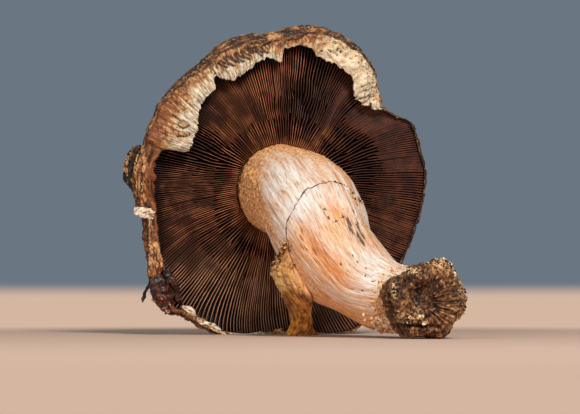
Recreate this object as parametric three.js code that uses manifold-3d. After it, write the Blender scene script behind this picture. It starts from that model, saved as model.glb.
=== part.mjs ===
// A large portobello mushroom, picked whole and set down on its side: the cap stands on its rim with
// the gills showing, and the bent stem comes down to the table in front of it.
//
// Millimetres, +Z up. The table is the plane Z = 0, the stem side of the cap faces -Y, and the origin
// is under the middle of the mushroom's own box.
//
// Nodes: cap (flesh, skin and rolled margin), gills, stem, ring (the torn veil that hangs from the stem
// to the table) and soil (the casing peat that clings to the foot of the stem).

import * as THREE from "three";
import { mergeVertices } from "three/addons/utils/BufferGeometryUtils.js";
import Module from "manifold-3d";

const wasm = await Module();
wasm.setup();

const GAP = 0.35; // clearance kept between neighbouring tissues

// --- Driving dimensions ------------------------------------------------------------------------------

const CAP_CENTRE = new THREE.Vector3(-4.6, 20.4, 58.65); // middle of the margin's plane
const CAP_LEAN = THREE.MathUtils.degToRad(12); // the top of the cap leans towards the stem side
const CAP_YAW = THREE.MathUtils.degToRad(12); // the gill face looks this far towards +X
const MEAN_RADIUS = 57;
const DOME_HEIGHT = 29; // apex of the cap behind the margin's plane
const DOME_FULLNESS = 2.7; // higher is flatter on top and rounder at the shoulder
const LOBE_FADE = 4; // higher keeps the margin's lobes nearer to the margin

const SEAT_DEPTH = 9; // the flat in the middle of the flesh, where the stem joins
const SEAT_BLEND = 0.08; // share of the way out over which the flat turns into the ceiling of the gills
const LIP_THICKNESS = 1.6;
const FLAP_DIP = 0.1; // how far a flap sinks towards the gills, per length of its reach

// Margin of the cap seen from the gill side: direction in degrees from +X, radius to the outside of the
// fold, how far the lip reaches in over the gills, and the radius the flesh folds over with.
const MARGIN = [
  { at: 3, radius: 60, reach: 1.5, fold: 1.2 },
  { at: 15, radius: 58.5, reach: 1.5, fold: 1.2 },
  { at: 25, radius: 58.5, reach: 1.5, fold: 1.2 },
  { at: 31, radius: 54.5, reach: 2, fold: 1.4 },
  { at: 37, radius: 51.5, reach: 3.5, fold: 2 },
  { at: 44, radius: 53.5, reach: 8.5, fold: 4 },
  { at: 51, radius: 57, reach: 9, fold: 5 },
  { at: 60, radius: 59.5, reach: 9.5, fold: 5.5 },
  { at: 69, radius: 60, reach: 9.5, fold: 5.5 },
  { at: 77, radius: 60, reach: 7.5, fold: 5 },
  { at: 84, radius: 58.5, reach: 6, fold: 4 },
  { at: 93, radius: 55.5, reach: 8.5, fold: 5 },
  { at: 100, radius: 55, reach: 8.5, fold: 5 },
  { at: 107, radius: 55.5, reach: 11, fold: 5.5 },
  { at: 115, radius: 55, reach: 11.5, fold: 5.5 },
  { at: 123, radius: 53.5, reach: 8, fold: 5 },
  { at: 132, radius: 53, reach: 10.5, fold: 5.5 },
  { at: 141, radius: 53.5, reach: 13.5, fold: 6 },
  { at: 150, radius: 54, reach: 16.5, fold: 6.5 },
  { at: 159, radius: 53, reach: 16, fold: 6.5 },
  { at: 167, radius: 53, reach: 10, fold: 5 },
  { at: 178, radius: 56, reach: 7.5, fold: 4 },
  { at: 190, radius: 54, reach: 6, fold: 3.5 },
  { at: 198, radius: 53, reach: 5, fold: 3.5 },
  { at: 212, radius: 57, reach: 4.5, fold: 3 },
  { at: 220, radius: 60.5, reach: 4.5, fold: 3 },
  { at: 230, radius: 64, reach: 4, fold: 3 },
  { at: 248, radius: 63.5, reach: 2.5, fold: 2 },
  { at: 261, radius: 61.5, reach: 2, fold: 1.5 },
  { at: 275, radius: 60.5, reach: 1.5, fold: 1.2 },
  { at: 287, radius: 63.4, reach: 1.5, fold: 1.2 },
  { at: 296, radius: 66.6, reach: 1.5, fold: 1.2 },
  { at: 304, radius: 66.4, reach: 1.5, fold: 1.2 },
  { at: 316, radius: 64, reach: 1.5, fold: 1.2 },
  { at: 330, radius: 62, reach: 1.5, fold: 1.2 },
  { at: 346, radius: 61, reach: 1.5, fold: 1.2 },
];

// The gills, by share of the way from the cap's axis to their outer ends: height of their free edges
// over the margin's plane, and how deep they stand in the flesh.
const GILLS = [
  { share: 0.3, edge: -6, depth: 2.6 },
  { share: 0.42, edge: -1.8, depth: 6 },
  { share: 0.62, edge: 0.4, depth: 8.6 },
  { share: 0.84, edge: -0.2, depth: 6 },
  { share: 1, edge: -1.2, depth: 2.4 },
];
const GILLS_INNER_RADIUS = 18.6; // they stop short of the stem, and leave a channel round it
const GILLS_INSET = 1; // how far inside the margin they end, and the part of its fold that is added
const GILLS_INSET_FOLD = 0.6;

const STEM_ROOT = { right: 2.6, up: -3, radius: 16.6 }; // where the stem leaves the cap's flesh
// Middle of the stem and its radius, from just under the gills down to the foot.
const STEM_COURSE = [
  { x: 5, y: 8.4, z: 49.6, radius: 18.4 },
  { x: 10, y: -1.6, z: 41.2, radius: 19.4 },
  { x: 14.8, y: -11.6, z: 31, radius: 17.4 },
  { x: 19, y: -17, z: 25.2, radius: 16.2 },
  { x: 25, y: -22.8, z: 20.4, radius: 13.8 },
  { x: 31.4, y: -28, z: 16.1, radius: 12.1 },
  { x: 38, y: -33.4, z: 13.4, radius: 11.4 },
  { x: 45.4, y: -41.6, z: 13.4, radius: 10.4 },
];

const RING_HALF_THICKNESS = 2.2;
// The torn veil from the table up to the stem: its middle and half width at each height.
const RING_COURSE = [
  { x: 5.4, y: -15, z: -1, half: 6 },
  { x: 4.8, y: -15, z: 5, half: 4.7 },
  { x: 4.6, y: -14.8, z: 9.5, half: 4.4 },
  { x: 3.6, y: -14.8, z: 14.5, half: 5.6 },
  { x: 0.8, y: -15.6, z: 19.5, half: 5.6 },
  { x: -1, y: -17.4, z: 24.5, half: 4.6 },
  { x: 0, y: -21, z: 32, half: 1.8 },
];

// The lump of peat round the foot of the stem: how far it reaches up the stem and past its end.
const SOIL = { before: 8, past: 6.4, radius: 13.9 };
// Its unevenness all round: how many swellings, and how big they are beside the radius.
const SOIL_SWELLINGS = [
  { count: 3, size: 0.035 },
  { count: 7, size: 0.025 },
];

// How finely each surface is divided, along and around.
const STEM_GRID = { along: 26, around: 28 };
const DOME_STEPS = 9;
const DIRECTIONS = 90; // directions round the cap
const RING_GRID = { along: 12, around: 18 };
const SOIL_AROUND = 26;

// --- Small geometry helpers --------------------------------------------------------------------------

// A smooth line through rows of numbers: `key` names the column that places them.
function smoothRows(rows, key, columns) {
  const values = rows.flatMap((row) => columns.map((column) => row[column]));
  const curve = new THREE.CubicInterpolant(rows.map((row) => row[key]), values, columns.length);
  return (at) => {
    const found = curve.evaluate(at);
    return Object.fromEntries(columns.map((column, i) => [column, found[i]]));
  };
}

// A surface over rings of points with the same count. Rings that shrink to a point close its ends, and
// `loop` joins the last ring back to the first instead.
function ringSurface(rings, loop = false) {
  const around = rings[0].length;
  const index = [];
  const spans = loop ? rings.length : rings.length - 1;
  for (let i = 0; i < spans; i += 1) {
    const next = (i + 1) % rings.length;
    for (let j = 0; j < around; j += 1) {
      const turn = (j + 1) % around;
      const corners = [i * around + j, i * around + turn, next * around + turn, next * around + j];
      index.push(corners[0], corners[1], corners[2], corners[0], corners[2], corners[3]);
    }
  }
  return new THREE.BufferGeometry().setFromPoints(rings.flat()).setIndex(index);
}

// A flat ring of points: `pointAt` gives the point for each angle.
function ringOf(around, pointAt) {
  return Array.from({ length: around }, (_, j) => pointAt((2 * Math.PI * j) / around));
}

const SAME_POINT = 1e-4; // points closer together than this are one

// A closed surface as a solid, moved by a matrix, with its faces turned outwards.
function solidFrom(geometry, matrix = new THREE.Matrix4()) {
  const placed = geometry.clone().applyMatrix4(matrix);
  placed.deleteAttribute("normal");
  placed.deleteAttribute("uv");
  const merged = mergeVertices(placed, SAME_POINT);
  const faces = [];
  for (let i = 0; i < merged.index.count; i += 3) {
    const [a, b, c] = merged.index.array.slice(i, i + 3);
    if (a !== b && b !== c && c !== a) faces.push([a, b, c]);
  }
  const vertProperties = new Float32Array(merged.attributes.position.array);
  const asSolid = (triangles) =>
    new wasm.Manifold(
      new wasm.Mesh({ numProp: 3, vertProperties, triVerts: new Uint32Array(triangles.flat()) }),
    );
  const solid = asSolid(faces);
  return solid.volume() > 0 ? solid : asSolid(faces.map(([a, b, c]) => [a, c, b]));
}

// The room over the table. What reaches below it is pressed flat there.
const ROOM = 400;
const roomOverTable = new THREE.BoxGeometry(ROOM, ROOM, ROOM).translate(0, 0, ROOM / 2);

// Adds a named mesh to a group, from a closed surface in the group's own frame. The cutters are in the
// mushroom's frame, and so is the table.
function addPiece(group, name, look, surface, cutters = []) {
  group.updateWorldMatrix(true, false);
  const intoGroup = group.matrixWorld.clone().invert();
  let solid = solidFrom(surface).intersect(solidFrom(roomOverTable, intoGroup));
  for (const cutter of cutters) solid = solid.subtract(solidFrom(cutter, intoGroup));
  const { vertProperties, triVerts } = solid.getMesh();
  const geometry = new THREE.BufferGeometry()
    .setAttribute("position", new THREE.BufferAttribute(new Float32Array(vertProperties), 3))
    .setIndex(new THREE.BufferAttribute(new Uint32Array(triVerts), 1));
  const mesh = new THREE.Mesh(geometry, new THREE.MeshStandardMaterial({ ...look, metalness: 0 }));
  mesh.name = name;
  group.add(mesh);
}

const mushroom = new THREE.Group();
mushroom.name = "portobello_mushroom";

// --- The cap's own frame: x to the right and y up over the gill face, z out along the stem -----------

const capGroup = new THREE.Group();
capGroup.position.copy(CAP_CENTRE);
capGroup.rotation.set(Math.PI / 2 + CAP_LEAN, 0, CAP_YAW, "ZYX");
mushroom.add(capGroup);

// --- The stem ----------------------------------------------------------------------------------------

const STEM_START = [0.7, 5]; // its first two points over the seat
const stemStart = STEM_START.map((over) => over - SEAT_DEPTH).map((height) =>
  capGroup.localToWorld(new THREE.Vector3(STEM_ROOT.right, STEM_ROOT.up, height)),
);
const stemLine = new THREE.CatmullRomCurve3(
  [...stemStart, ...STEM_COURSE.map(({ x, y, z }) => new THREE.Vector3(x, y, z))],
  false,
  "centripetal",
);
const stemRadii = [STEM_ROOT.radius, STEM_ROOT.radius, ...STEM_COURSE.map((row) => row.radius)];
const stemWidth = smoothRows(
  stemRadii.map((radius, i) => ({ at: i / (stemRadii.length - 1), radius })),
  "at",
  ["radius"],
);

// The stem's surface, or one that is `swell` bigger all over, to cut its neighbours clear of it.
function stemSurface(swell = 0) {
  const { along: steps, around } = STEM_GRID;
  const frames = stemLine.computeFrenetFrames(steps, false);
  const rings = frames.tangents.map((tangent, i) => {
    const at = stemLine.getUtoTmapping(i / steps);
    const centre = stemLine.getPoint(at);
    if (i === 0) centre.addScaledVector(tangent, -swell);
    if (i === steps) centre.addScaledVector(tangent, swell);
    const radius = stemWidth(at).radius + swell;
    return ringOf(around, (a) =>
      centre.clone()
        .addScaledVector(frames.normals[i], radius * Math.cos(a))
        .addScaledVector(frames.binormals[i], radius * Math.sin(a)),
    );
  });
  const middleOf = (ring) => {
    const middle = ring[0].clone().lerp(ring[around / 2], 0.5);
    return ring.map(() => middle.clone());
  };
  return ringSurface([middleOf(rings[0]), ...rings, middleOf(rings[steps])]);
}

const stemRoom = stemSurface(GAP);
addPiece(mushroom, "stem", { color: 0xe6cdb4, roughness: 0.7 }, stemSurface());

// --- The cap and its gills ---------------------------------------------------------------------------

const wrapped = [-360, 0, 360].flatMap((turn) => MARGIN.map((row) => ({ ...row, at: row.at + turn })));
const marginAt = smoothRows(wrapped, "at", ["radius", "reach", "fold"]);
const gillsAt = smoothRows(GILLS, "share", ["edge", "depth"]);

// Evenly turned directions round the cap, each with what the margin does there.
const stations = ringOf(DIRECTIONS, (angle) => ({
  across: Math.cos(angle),
  up: Math.sin(angle),
  ...marginAt(THREE.MathUtils.radToDeg(angle)),
}));

// Where the ceiling and the gills are shaped, as shares of the way out to the gills' ends.
const SHARES = [0.3, 0.36, 0.42, 0.52, 0.64, 0.76, 0.88, 1];

function gillsOuterRadius({ radius, fold }) {
  return radius - GILLS_INSET - GILLS_INSET_FOLD * fold;
}

// Height of the ceiling of flesh that the gills hang from.
function ceilingHeight(share) {
  const inner = SHARES[0];
  const { edge, depth } = gillsAt(share);
  const blend = THREE.MathUtils.smoothstep(share, inner, inner + SEAT_BLEND);
  return THREE.MathUtils.lerp(-SEAT_DEPTH, edge - depth, blend);
}

// Radius and height of the cap's surface, from the apex over the margin to the middle of the ceiling.
function capProfile(station) {
  const { radius, reach, fold } = station;
  const points = [];
  for (let i = 0; i <= DOME_STEPS; i += 1) {
    const share = Math.sin((Math.PI / 2) * (i / DOME_STEPS));
    const even = THREE.MathUtils.lerp(MEAN_RADIUS, radius, share ** LOBE_FADE);
    points.push([share * even, -DOME_HEIGHT * Math.sqrt(Math.max(0, 1 - share ** DOME_FULLNESS))]);
  }
  for (const turn of [30, 60, 90]) {
    const a = THREE.MathUtils.degToRad(turn);
    points.push([radius - fold + fold * Math.cos(a), fold * Math.sin(a)]);
  }
  const flap = Math.max(0, reach - fold);
  const lip = radius - fold - flap;
  const lipHeight = fold - FLAP_DIP * flap;
  points.push([lip + 0.5 * flap, fold - 0.2 * FLAP_DIP * flap]);
  points.push([lip, lipHeight]);
  points.push([lip, lipHeight - 0.6 * LIP_THICKNESS]);
  points.push([lip + 0.6 * flap, fold - LIP_THICKNESS]);
  const wall = gillsOuterRadius(station) + GAP;
  points.push([wall, Math.min(fold - LIP_THICKNESS - 0.4, 0.6 * fold - 1)]);
  for (const share of SHARES.toReversed()) points.push([wall * share, ceilingHeight(share)]);
  points.push([0, -SEAT_DEPTH]);
  return points;
}

function capSurface() {
  const profiles = stations.map(capProfile);
  const rings = profiles[0].map((_, k) =>
    stations.map(({ across, up }, j) => {
      const [r, height] = profiles[j][k];
      return new THREE.Vector3(r * across, r * up, height);
    }),
  );
  return ringSurface(rings);
}

function gillsSurface() {
  const ringAt = (share, height) =>
    stations.map((station) => {
      const r = Math.max(GILLS_INNER_RADIUS, share * gillsOuterRadius(station));
      return new THREE.Vector3(r * station.across, r * station.up, height);
    });
  const edges = SHARES.map((share) => ringAt(share, gillsAt(share).edge));
  const backs = SHARES.toReversed().map((share) => ringAt(share, ceilingHeight(share) + 2 * GAP));
  return ringSurface([...edges, ...backs], true);
}

addPiece(capGroup, "cap", { color: 0x8a5f3c, roughness: 0.75 }, capSurface(), [stemRoom]);
addPiece(capGroup, "gills", { color: 0x4a2a1c, roughness: 0.85 }, gillsSurface(), [stemRoom]);

// --- The ring ----------------------------------------------------------------------------------------

function veilSurface() {
  const line = new THREE.CatmullRomCurve3(RING_COURSE.map(({ x, y, z }) => new THREE.Vector3(x, y, z)));
  const widthAt = smoothRows(RING_COURSE, "z", ["half"]);
  const { along: steps, around } = RING_GRID;
  const rings = line.getPoints(steps).map((centre) => {
    const { half } = widthAt(centre.z);
    return ringOf(around, (a) => {
      const offset = new THREE.Vector3(half * Math.cos(a), RING_HALF_THICKNESS * Math.sin(a), 0);
      return offset.add(centre);
    });
  });
  const [foot, top] = [line.getPoint(0), line.getPoint(1)];
  return ringSurface([rings[0].map(() => foot), ...rings, rings[steps].map(() => top)]);
}

addPiece(mushroom, "ring", { color: 0xb07f45, roughness: 0.8 }, veilSurface(), [stemRoom]);

// --- The peat: its own frame sits at the foot of the stem and looks out along it ---------------------

const soilGroup = new THREE.Group();
soilGroup.position.copy(stemLine.getPoint(1));
soilGroup.up.set(0, 0, 1);
mushroom.add(soilGroup);
soilGroup.lookAt(stemLine.getPoint(1).add(stemLine.getTangent(1)));

// Flat-ended with a rounded shoulder, and a little uneven all round.
function soilSurface() {
  const profile = [
    [0, -SOIL.before],
    [0.78, -SOIL.before],
    [0.94, -SOIL.before * 0.6],
    [1, 0],
    [0.98, SOIL.past * 0.5],
    [0.86, SOIL.past * 0.9],
    [0.5, SOIL.past],
    [0, SOIL.past * 0.9],
  ];
  const rings = profile.map(([share, height]) =>
    ringOf(SOIL_AROUND, (a) => {
      const swellings = SOIL_SWELLINGS.map(({ count, size }, i) => size * Math.sin(count * a + 1 - i));
      const radius = SOIL.radius * share * (1 + swellings[0] + swellings[1]);
      return new THREE.Vector3(radius * Math.cos(a), radius * Math.sin(a), height);
    }),
  );
  return ringSurface(rings);
}

addPiece(soilGroup, "soil", { color: 0x3f2a1c, roughness: 0.95 }, soilSurface(), [stemRoom]);

export default mushroom;
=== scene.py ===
# A large portobello mushroom, picked whole and set down on its side: the cap stands on its rim with
# the gills showing, and the bent stem comes down to the table in front of it.
#
# Sizes are millimetres until `shape` writes them into a mesh, which holds metres. The cap has a frame
# of its own: x to the right and y up over the gill face, and h out of it, towards the stem's side.

import math
from functools import reduce
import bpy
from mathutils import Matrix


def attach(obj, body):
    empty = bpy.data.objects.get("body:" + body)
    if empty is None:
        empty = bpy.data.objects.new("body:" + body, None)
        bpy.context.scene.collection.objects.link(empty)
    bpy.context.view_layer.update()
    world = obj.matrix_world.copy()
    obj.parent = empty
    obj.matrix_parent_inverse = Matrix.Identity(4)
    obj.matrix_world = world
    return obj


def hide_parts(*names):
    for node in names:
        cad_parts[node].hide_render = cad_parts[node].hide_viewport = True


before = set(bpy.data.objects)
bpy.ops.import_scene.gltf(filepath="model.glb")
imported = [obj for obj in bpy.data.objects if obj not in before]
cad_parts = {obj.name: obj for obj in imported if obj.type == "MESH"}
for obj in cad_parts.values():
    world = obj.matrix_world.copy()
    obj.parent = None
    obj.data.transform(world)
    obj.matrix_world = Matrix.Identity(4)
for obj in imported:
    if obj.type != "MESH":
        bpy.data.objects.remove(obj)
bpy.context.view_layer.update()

from types import SimpleNamespace

import bpy
import numpy as np
from mathutils import Vector, noise

MM = 0.001

# --- Driving dimensions, as the frame has them -------------------------------------------------------

CAP_CENTRE = np.array([-4.6, 20.4, 58.65])
CAP_LEAN = math.radians(12)
CAP_YAW = math.radians(12)
MEAN_RADIUS = 57.0
DOME_HEIGHT = 29.0
DOME_FULLNESS = 2.7
SEAT_DEPTH = 9.0

# The margin of the cap by direction, in degrees from the right: radius to the outside of the fold.
OUTLINE = [
    (3, 60.6), (15, 59), (23.3, 58.8), (30.4, 53.2), (37, 51), (44, 53.8), (51.5, 57.8), (60, 60.5),
    (69, 61.3), (77, 61.2), (82, 60.3), (88.5, 58.4), (93.5, 56.6), (97.5, 56.2), (101.5, 57), (107.5, 57),
    (115, 56.1), (123, 54.4), (132, 53.3), (141, 53.4), (148.5, 53.9), (155, 52.8), (162.5, 52.7),
    (167, 52.9), (178, 54.6), (184, 54.5), (190, 53.9), (197, 52.6), (204.5, 54.3), (212, 56.9),
    (218.5, 60.3), (226.5, 64.2), (231.5, 65.4), (236.5, 63), (242, 63.2), (248, 63.4), (255, 62.6),
    (261, 61.6), (268, 60.4), (275, 59.8), (287, 63.2), (296, 67), (301, 68.2), (307, 66.4), (316, 63.2),
    (330, 61), (346, 60),
]
# Radius to the free edge of the rolled margin and of the torn veil that hangs on it.
LIP = [
    (3, 59.9), (15, 58.3), (23.3, 58.1), (30.4, 52.5), (35.8, 50), (36.6, 48.2), (38, 47.4), (44, 44.6),
    (48, 44.4), (54.5, 48.4), (58, 49.9), (65.5, 50.5), (73.5, 50.4), (77, 52.4), (82, 53.2), (86.5, 51.6),
    (89.3, 51.4), (90.6, 46.4), (93, 46.6), (97, 47.9), (102, 46.6), (107, 44.4), (115, 43.5),
    (119.7, 45.6), (122.6, 47.4), (126.5, 43.3), (136.5, 42.1), (143, 39.5), (151, 37), (157.3, 36.6),
    (161.7, 36.7), (163.4, 38.2), (164.6, 45.2), (168, 47), (174, 47.4), (181, 47.3), (190, 47.1),
    (196.5, 47.8), (207.5, 50.1), (216, 53.5), (219.5, 56.3), (227, 61.2), (235, 62.2), (241.5, 61.9),
    (250, 62.1), (261.5, 60.5), (271.5, 58.6), (287, 62.5), (296, 66.3), (301, 67.5), (307, 65.7),
    (316, 62.5), (330, 60.3), (346, 59.3),
]
# How far the margin stands out over the gill face where it folds over.
FOLD = [
    (3, 0.5), (25, 0.5), (31, 0.8), (36, 2), (38, 3.4), (44, 4), (51, 5), (60, 5.5), (69, 5.5), (77, 5),
    (84, 4), (89, 4), (91, 5), (107, 5.5), (123, 5), (132, 5.5), (141, 6), (150, 6.4), (162, 6.4),
    (165, 4.6), (178, 4), (190, 3.5), (212, 3), (230, 3), (248, 2), (261, 1.2), (275, 0.7), (346, 0.5),
]
# Width of the scaly skin that comes over the fold, from the outside in.
SKIN_BAND = [
    (3, 3), (31, 2.6), (38, 2.2), (44, 2.2), (49, 2.6), (56, 4.2), (62, 5), (72, 5), (80, 5.8), (86, 7.2),
    (92, 6.2), (100, 6.8), (108, 5.5), (118, 5.3), (126, 5.3), (135, 3.6), (150, 3), (163, 2.6), (175, 2),
    (200, 1.6), (230, 2.5), (262, 1), (275, 3), (346, 3),
]
# How pale the flesh of the fold is at its skin side and at its free edge: 0 brown, 0.5 tan, 1 white.
FLESH = [
    (0, 0.1, 0.3), (34, 0.1, 0.25), (36.6, 0.85, 1), (52, 0.9, 1), (66, 0.8, 1), (73, 0.6, 0.9),
    (76, 0.34, 0.6), (80, 0.25, 0.5), (88, 0.2, 0.75), (91, 0.3, 1), (100, 0.28, 1), (108, 0.28, 1),
    (116, 0.3, 0.95), (122, 0.35, 0.7), (128, 0.38, 1), (145, 0.12, 1.0), (163, 0.1, 0.9), (165, 0.0, 0.35),
    (200, 0.0, 0.3), (214, 0.0, 0.2), (226, 0.0, 0.15), (240, 0, 0.3), (252, 0, 0.6), (262, 0.3, 1),
    (275, 0.2, 0.4), (340, 0.1, 0.3),
]
# Stretches of the margin, each from one direction to another.
LOW_SIDES = [(-1, 33), (290, 361)]
RIGHT_FLAP = (36, 74)
CREASES = (34, 50)
TOP_OF_MARGIN = (84, 160)
TOP_LOBE = (92, 119)
LEFT_FLAP = (128, 163)
LEFT_BAND = (166, 236)

# The gills by share of the way out from the cap's middle: height of their free edges, and depth.
GILL_EDGES = [
    (0.2, -1.8, 6), (0.3, -1, 6.6), (0.42, -0.3, 7.4), (0.62, 0.5, 8.6), (0.84, 0, 6.4), (1, -0.7, 3),
]

STEM_ROOT = np.array([2.6, -3.0])
STEM_ROOT_RADIUS = 16.6
STEM_COURSE = [
    (5, 8.4, 49.6, 18.4), (10, -1.6, 41.2, 19.4), (14.8, -11.6, 31, 17.4), (19, -17, 25.2, 16.2),
    (25, -22.8, 19.4, 14.8), (31.4, -28, 15.2, 13), (38, -33.4, 13.4, 11.4), (45.4, -41.6, 13.4, 10.4),
]

# --- Making shapes -----------------------------------------------------------------------------------

random = np.random.RandomState(11)


def deselect():
    bpy.ops.object.select_all(action="DESELECT")


def only(piece):
    deselect()
    piece.select_set(True)
    bpy.context.view_layer.objects.active = piece


def grid(name, columns, rows):
    """A flat sheet to be wrapped into shape, its vertices in rows of `columns` + 1."""
    deselect()
    bpy.ops.mesh.primitive_grid_add(x_subdivisions=columns, y_subdivisions=rows, size=1)
    piece = bpy.context.object
    piece.name = name
    return piece


def shape(piece, points, **marks):
    """Puts a piece's vertices at these points, and keeps a number or a vector at each under each name."""
    piece.data.vertices.foreach_set("co", (np.asarray(points, float) * MM).ravel())
    for name, values in marks.items():
        vector = values.size == 3 * len(piece.data.vertices)
        kind, field = ("FLOAT_VECTOR", "vector") if vector else ("FLOAT", "value")
        layer = piece.data.attributes.get(name) or piece.data.attributes.new(name, kind, "POINT")
        layer.data.foreach_set(field, np.asarray(values, float).ravel())
    piece.data.update()


def edit(piece, operator, **options):
    """Runs a mesh operator on the whole of a piece."""
    only(piece)
    bpy.ops.object.mode_set(mode="EDIT")
    bpy.ops.mesh.select_all(action="SELECT")
    operator(**options)
    bpy.ops.object.mode_set(mode="OBJECT")


def face_outwards(piece):
    edit(piece, bpy.ops.mesh.normals_make_consistent, inside=False)


def seal(piece):
    """Joins a sheet's seam and its poles, and turns its faces outwards."""
    edit(piece, bpy.ops.mesh.remove_doubles, threshold=0.0002 * MM)
    face_outwards(piece)
    bpy.ops.object.shade_smooth()


def thicken(piece, thickness, offset=0.0):
    only(piece)
    wall = piece.modifiers.new("wall", "SOLIDIFY")
    wall.thickness = thickness * MM
    wall.offset = offset
    bpy.ops.object.modifier_apply(modifier=wall.name)
    bpy.ops.object.shade_smooth()


def join(name, copies):
    deselect()
    for copy in copies:
        copy.select_set(True)
    bpy.context.view_layer.objects.active = copies[0]
    bpy.ops.object.join()
    piece = bpy.context.object
    piece.name = name
    return piece


def copies_of(pattern, places, **marks):
    """A copy of a pattern for each block of points, with its own mesh. The pattern itself is removed."""
    made = []
    for number, points in enumerate(places):
        copy = pattern.copy()
        copy.data = pattern.data.copy()
        bpy.context.collection.objects.link(copy)
        shape(copy, points, **{name: values[number] for name, values in marks.items()})
        made.append(copy)
    bpy.data.objects.remove(pattern)
    return made


def keep(piece, material, slot, *nodes):
    """Gives a finished piece its material and its place in the frame."""
    piece.data.materials.clear()
    piece.data.materials.append(material)
    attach(piece, "root")
    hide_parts(*nodes)
    return piece


# --- Numbers along lines and over surfaces -----------------------------------------------------------


def smooth_table(rows, at, period=0.0, firm=True):
    """Smooth values between the rows of a table, whose first column says where each row is.

    A firm curve doesn't swing past the table's own values."""
    table = np.array(rows, float)
    if period:
        turn = np.zeros(table.shape[1])
        turn[0] = period
        table = np.vstack([table - turn, table, table + turn])
    places, values = table[:, 0], table[:, 1:]
    at = np.asarray(at, float)
    slopes = np.diff(values, axis=0) / np.diff(places)[:, None]
    before, after = slopes[:-1], slopes[1:]
    bend = (before + after) / 2
    if firm:
        bend = np.where(before * after > 0, before * after / np.where(bend == 0, 1, bend), 0)
    bend = np.vstack([slopes[:1], bend, slopes[-1:]])
    i = np.clip(np.searchsorted(places, at.ravel(), side="right") - 1, 0, len(places) - 2)
    span = (places[i + 1] - places[i])[:, None]
    s = np.clip((at.ravel() - places[i])[:, None] / span, 0, 1)
    found = (
        (1 + 2 * s) * (1 - s) ** 2 * values[i]
        + s * (1 - s) ** 2 * span * bend[i]
        + s * s * (3 - 2 * s) * values[i + 1]
        - s * s * (1 - s) * span * bend[i + 1]
    )
    found = found.reshape(*at.shape, -1)
    return found[..., 0] if found.shape[-1] == 1 else found


def step(low, high, value):
    """0 below `low`, 1 above `high`, and smooth between."""
    s = np.clip((np.asarray(value, float) - low) / (high - low), 0, 1)
    return s * s * (3 - 2 * s)


def peak(away, wide):
    """1 where `away` is 0, fading to nothing on both sides."""
    return np.exp(-((away / wide) ** 2))


def mixed(first, second, share):
    return first + (second - first) * share


def strongest(*fields):
    """The largest of several values at each point."""
    return reduce(np.maximum, fields)


def clipped(**marks):
    """Marks by their names, kept between 0 and 1."""
    return {name: np.clip(values, 0, 1) for name, values in marks.items()}


def rough(points, size, octaves=1, shift=0.0):
    """Noise from about -1 to 1 at each point, with bumps `size` millimetres across."""
    points = np.asarray(points, float)
    flat = (points.reshape(-1, 3) / size + shift).tolist()
    made = np.fromiter((noise.fractal(p, 0.8, 2.0, octaves) for p in flat), float, len(flat))
    return made.reshape(points.shape[:-1])


def cells(points, size, shift=0.0):
    """How near each point is to the border between two cells of a net of cells `size` across."""
    points = np.asarray(points, float)
    flat = (points.reshape(-1, 3) / size + shift).tolist()
    near = np.array([noise.voronoi(p)[0][:2] for p in flat])
    return (near[:, 1] - near[:, 0]).reshape(points.shape[:-1])


def vectors(*parts):
    """Vectors from their three parts, which may differ in shape."""
    return np.stack(np.broadcast_arrays(*parts), axis=-1).astype(float)


def unit(directions):
    return directions / (np.linalg.norm(directions, axis=-1, keepdims=True) + 1e-12)


def outward(points, middle, row):
    """The direction out of a closed sheet at each point. One row off the middle tells the side."""
    across = np.roll(points, -1, axis=1) - np.roll(points, 1, axis=1)
    normal = unit(np.cross(across, np.gradient(points, axis=0)))
    return normal * np.sign(np.sum(normal[row] * (points[row] - middle), axis=-1)).mean()


def seamed(values):
    """The first column again after the last one, for a sheet whose sides meet."""
    return np.concatenate([values, values[:, :1]], axis=1)


def distance_to_line(points, line):
    """Distance from each point to a line drawn from point to point."""
    best = np.full(points.shape[:-1], 1e9)
    for first, last in zip(line[:-1], line[1:]):
        run = last - first
        share = np.clip(np.sum((points - first) * run, axis=-1) / np.sum(run * run), 0, 1)
        best = np.minimum(best, np.linalg.norm(points - first - share[..., None] * run, axis=-1))
    return best


def strokes(at, lines, width):
    """1 on each of some lines, which are given by their points, and 0 a width away from them."""
    nearest = np.full(at.shape[:-1], 1e9)
    for line in lines:
        nearest = np.minimum(nearest, distance_to_line(at, np.array(line, float)))
    return step(width, 0.3 * width, nearest)


def ovals(at, places):
    """1 in the middle of each oval, given by its middle and its half sizes, and fading to 0."""
    found = np.zeros(at.shape[:-1])
    for x, y, wide, high in places:
        found = np.maximum(found, np.exp(-(((at[..., 0] - x) / wide) ** 2 + ((at[..., 1] - y) / high) ** 2)))
    return found


def between(degrees, first, last, soft=2.0):
    """1 between two directions and 0 outside them."""
    return step(first - soft, first + soft, degrees) * step(last + soft, last - soft, degrees)


cap_right = np.array([math.cos(CAP_YAW), math.sin(CAP_YAW), 0])
cap_up = np.array([
    math.sin(CAP_LEAN) * math.sin(CAP_YAW), -math.sin(CAP_LEAN) * math.cos(CAP_YAW), math.cos(CAP_LEAN),
])
cap_out = np.cross(cap_right, cap_up)


def from_cap(x, y, h):
    """A place in the cap's own frame as a place in the mushroom's frame."""
    x, y, h = np.broadcast_arrays(x, y, h)
    return CAP_CENTRE + x[..., None] * cap_right + y[..., None] * cap_up + h[..., None] * cap_out


def over_table(points):
    """What would reach below the table is pressed flat on it."""
    points = np.array(points, float)
    points[..., 2] = np.maximum(points[..., 2], 0)
    return points


def wrapped(name, points, **marks):
    """A closed piece from rows of points round it, the first and the last of which are its poles."""
    piece = grid(name, points.shape[1], len(points) - 1)
    shape(piece, seamed(over_table(points)), **{mark: seamed(values) for mark, values in marks.items()})
    seal(piece)
    return piece


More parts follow.
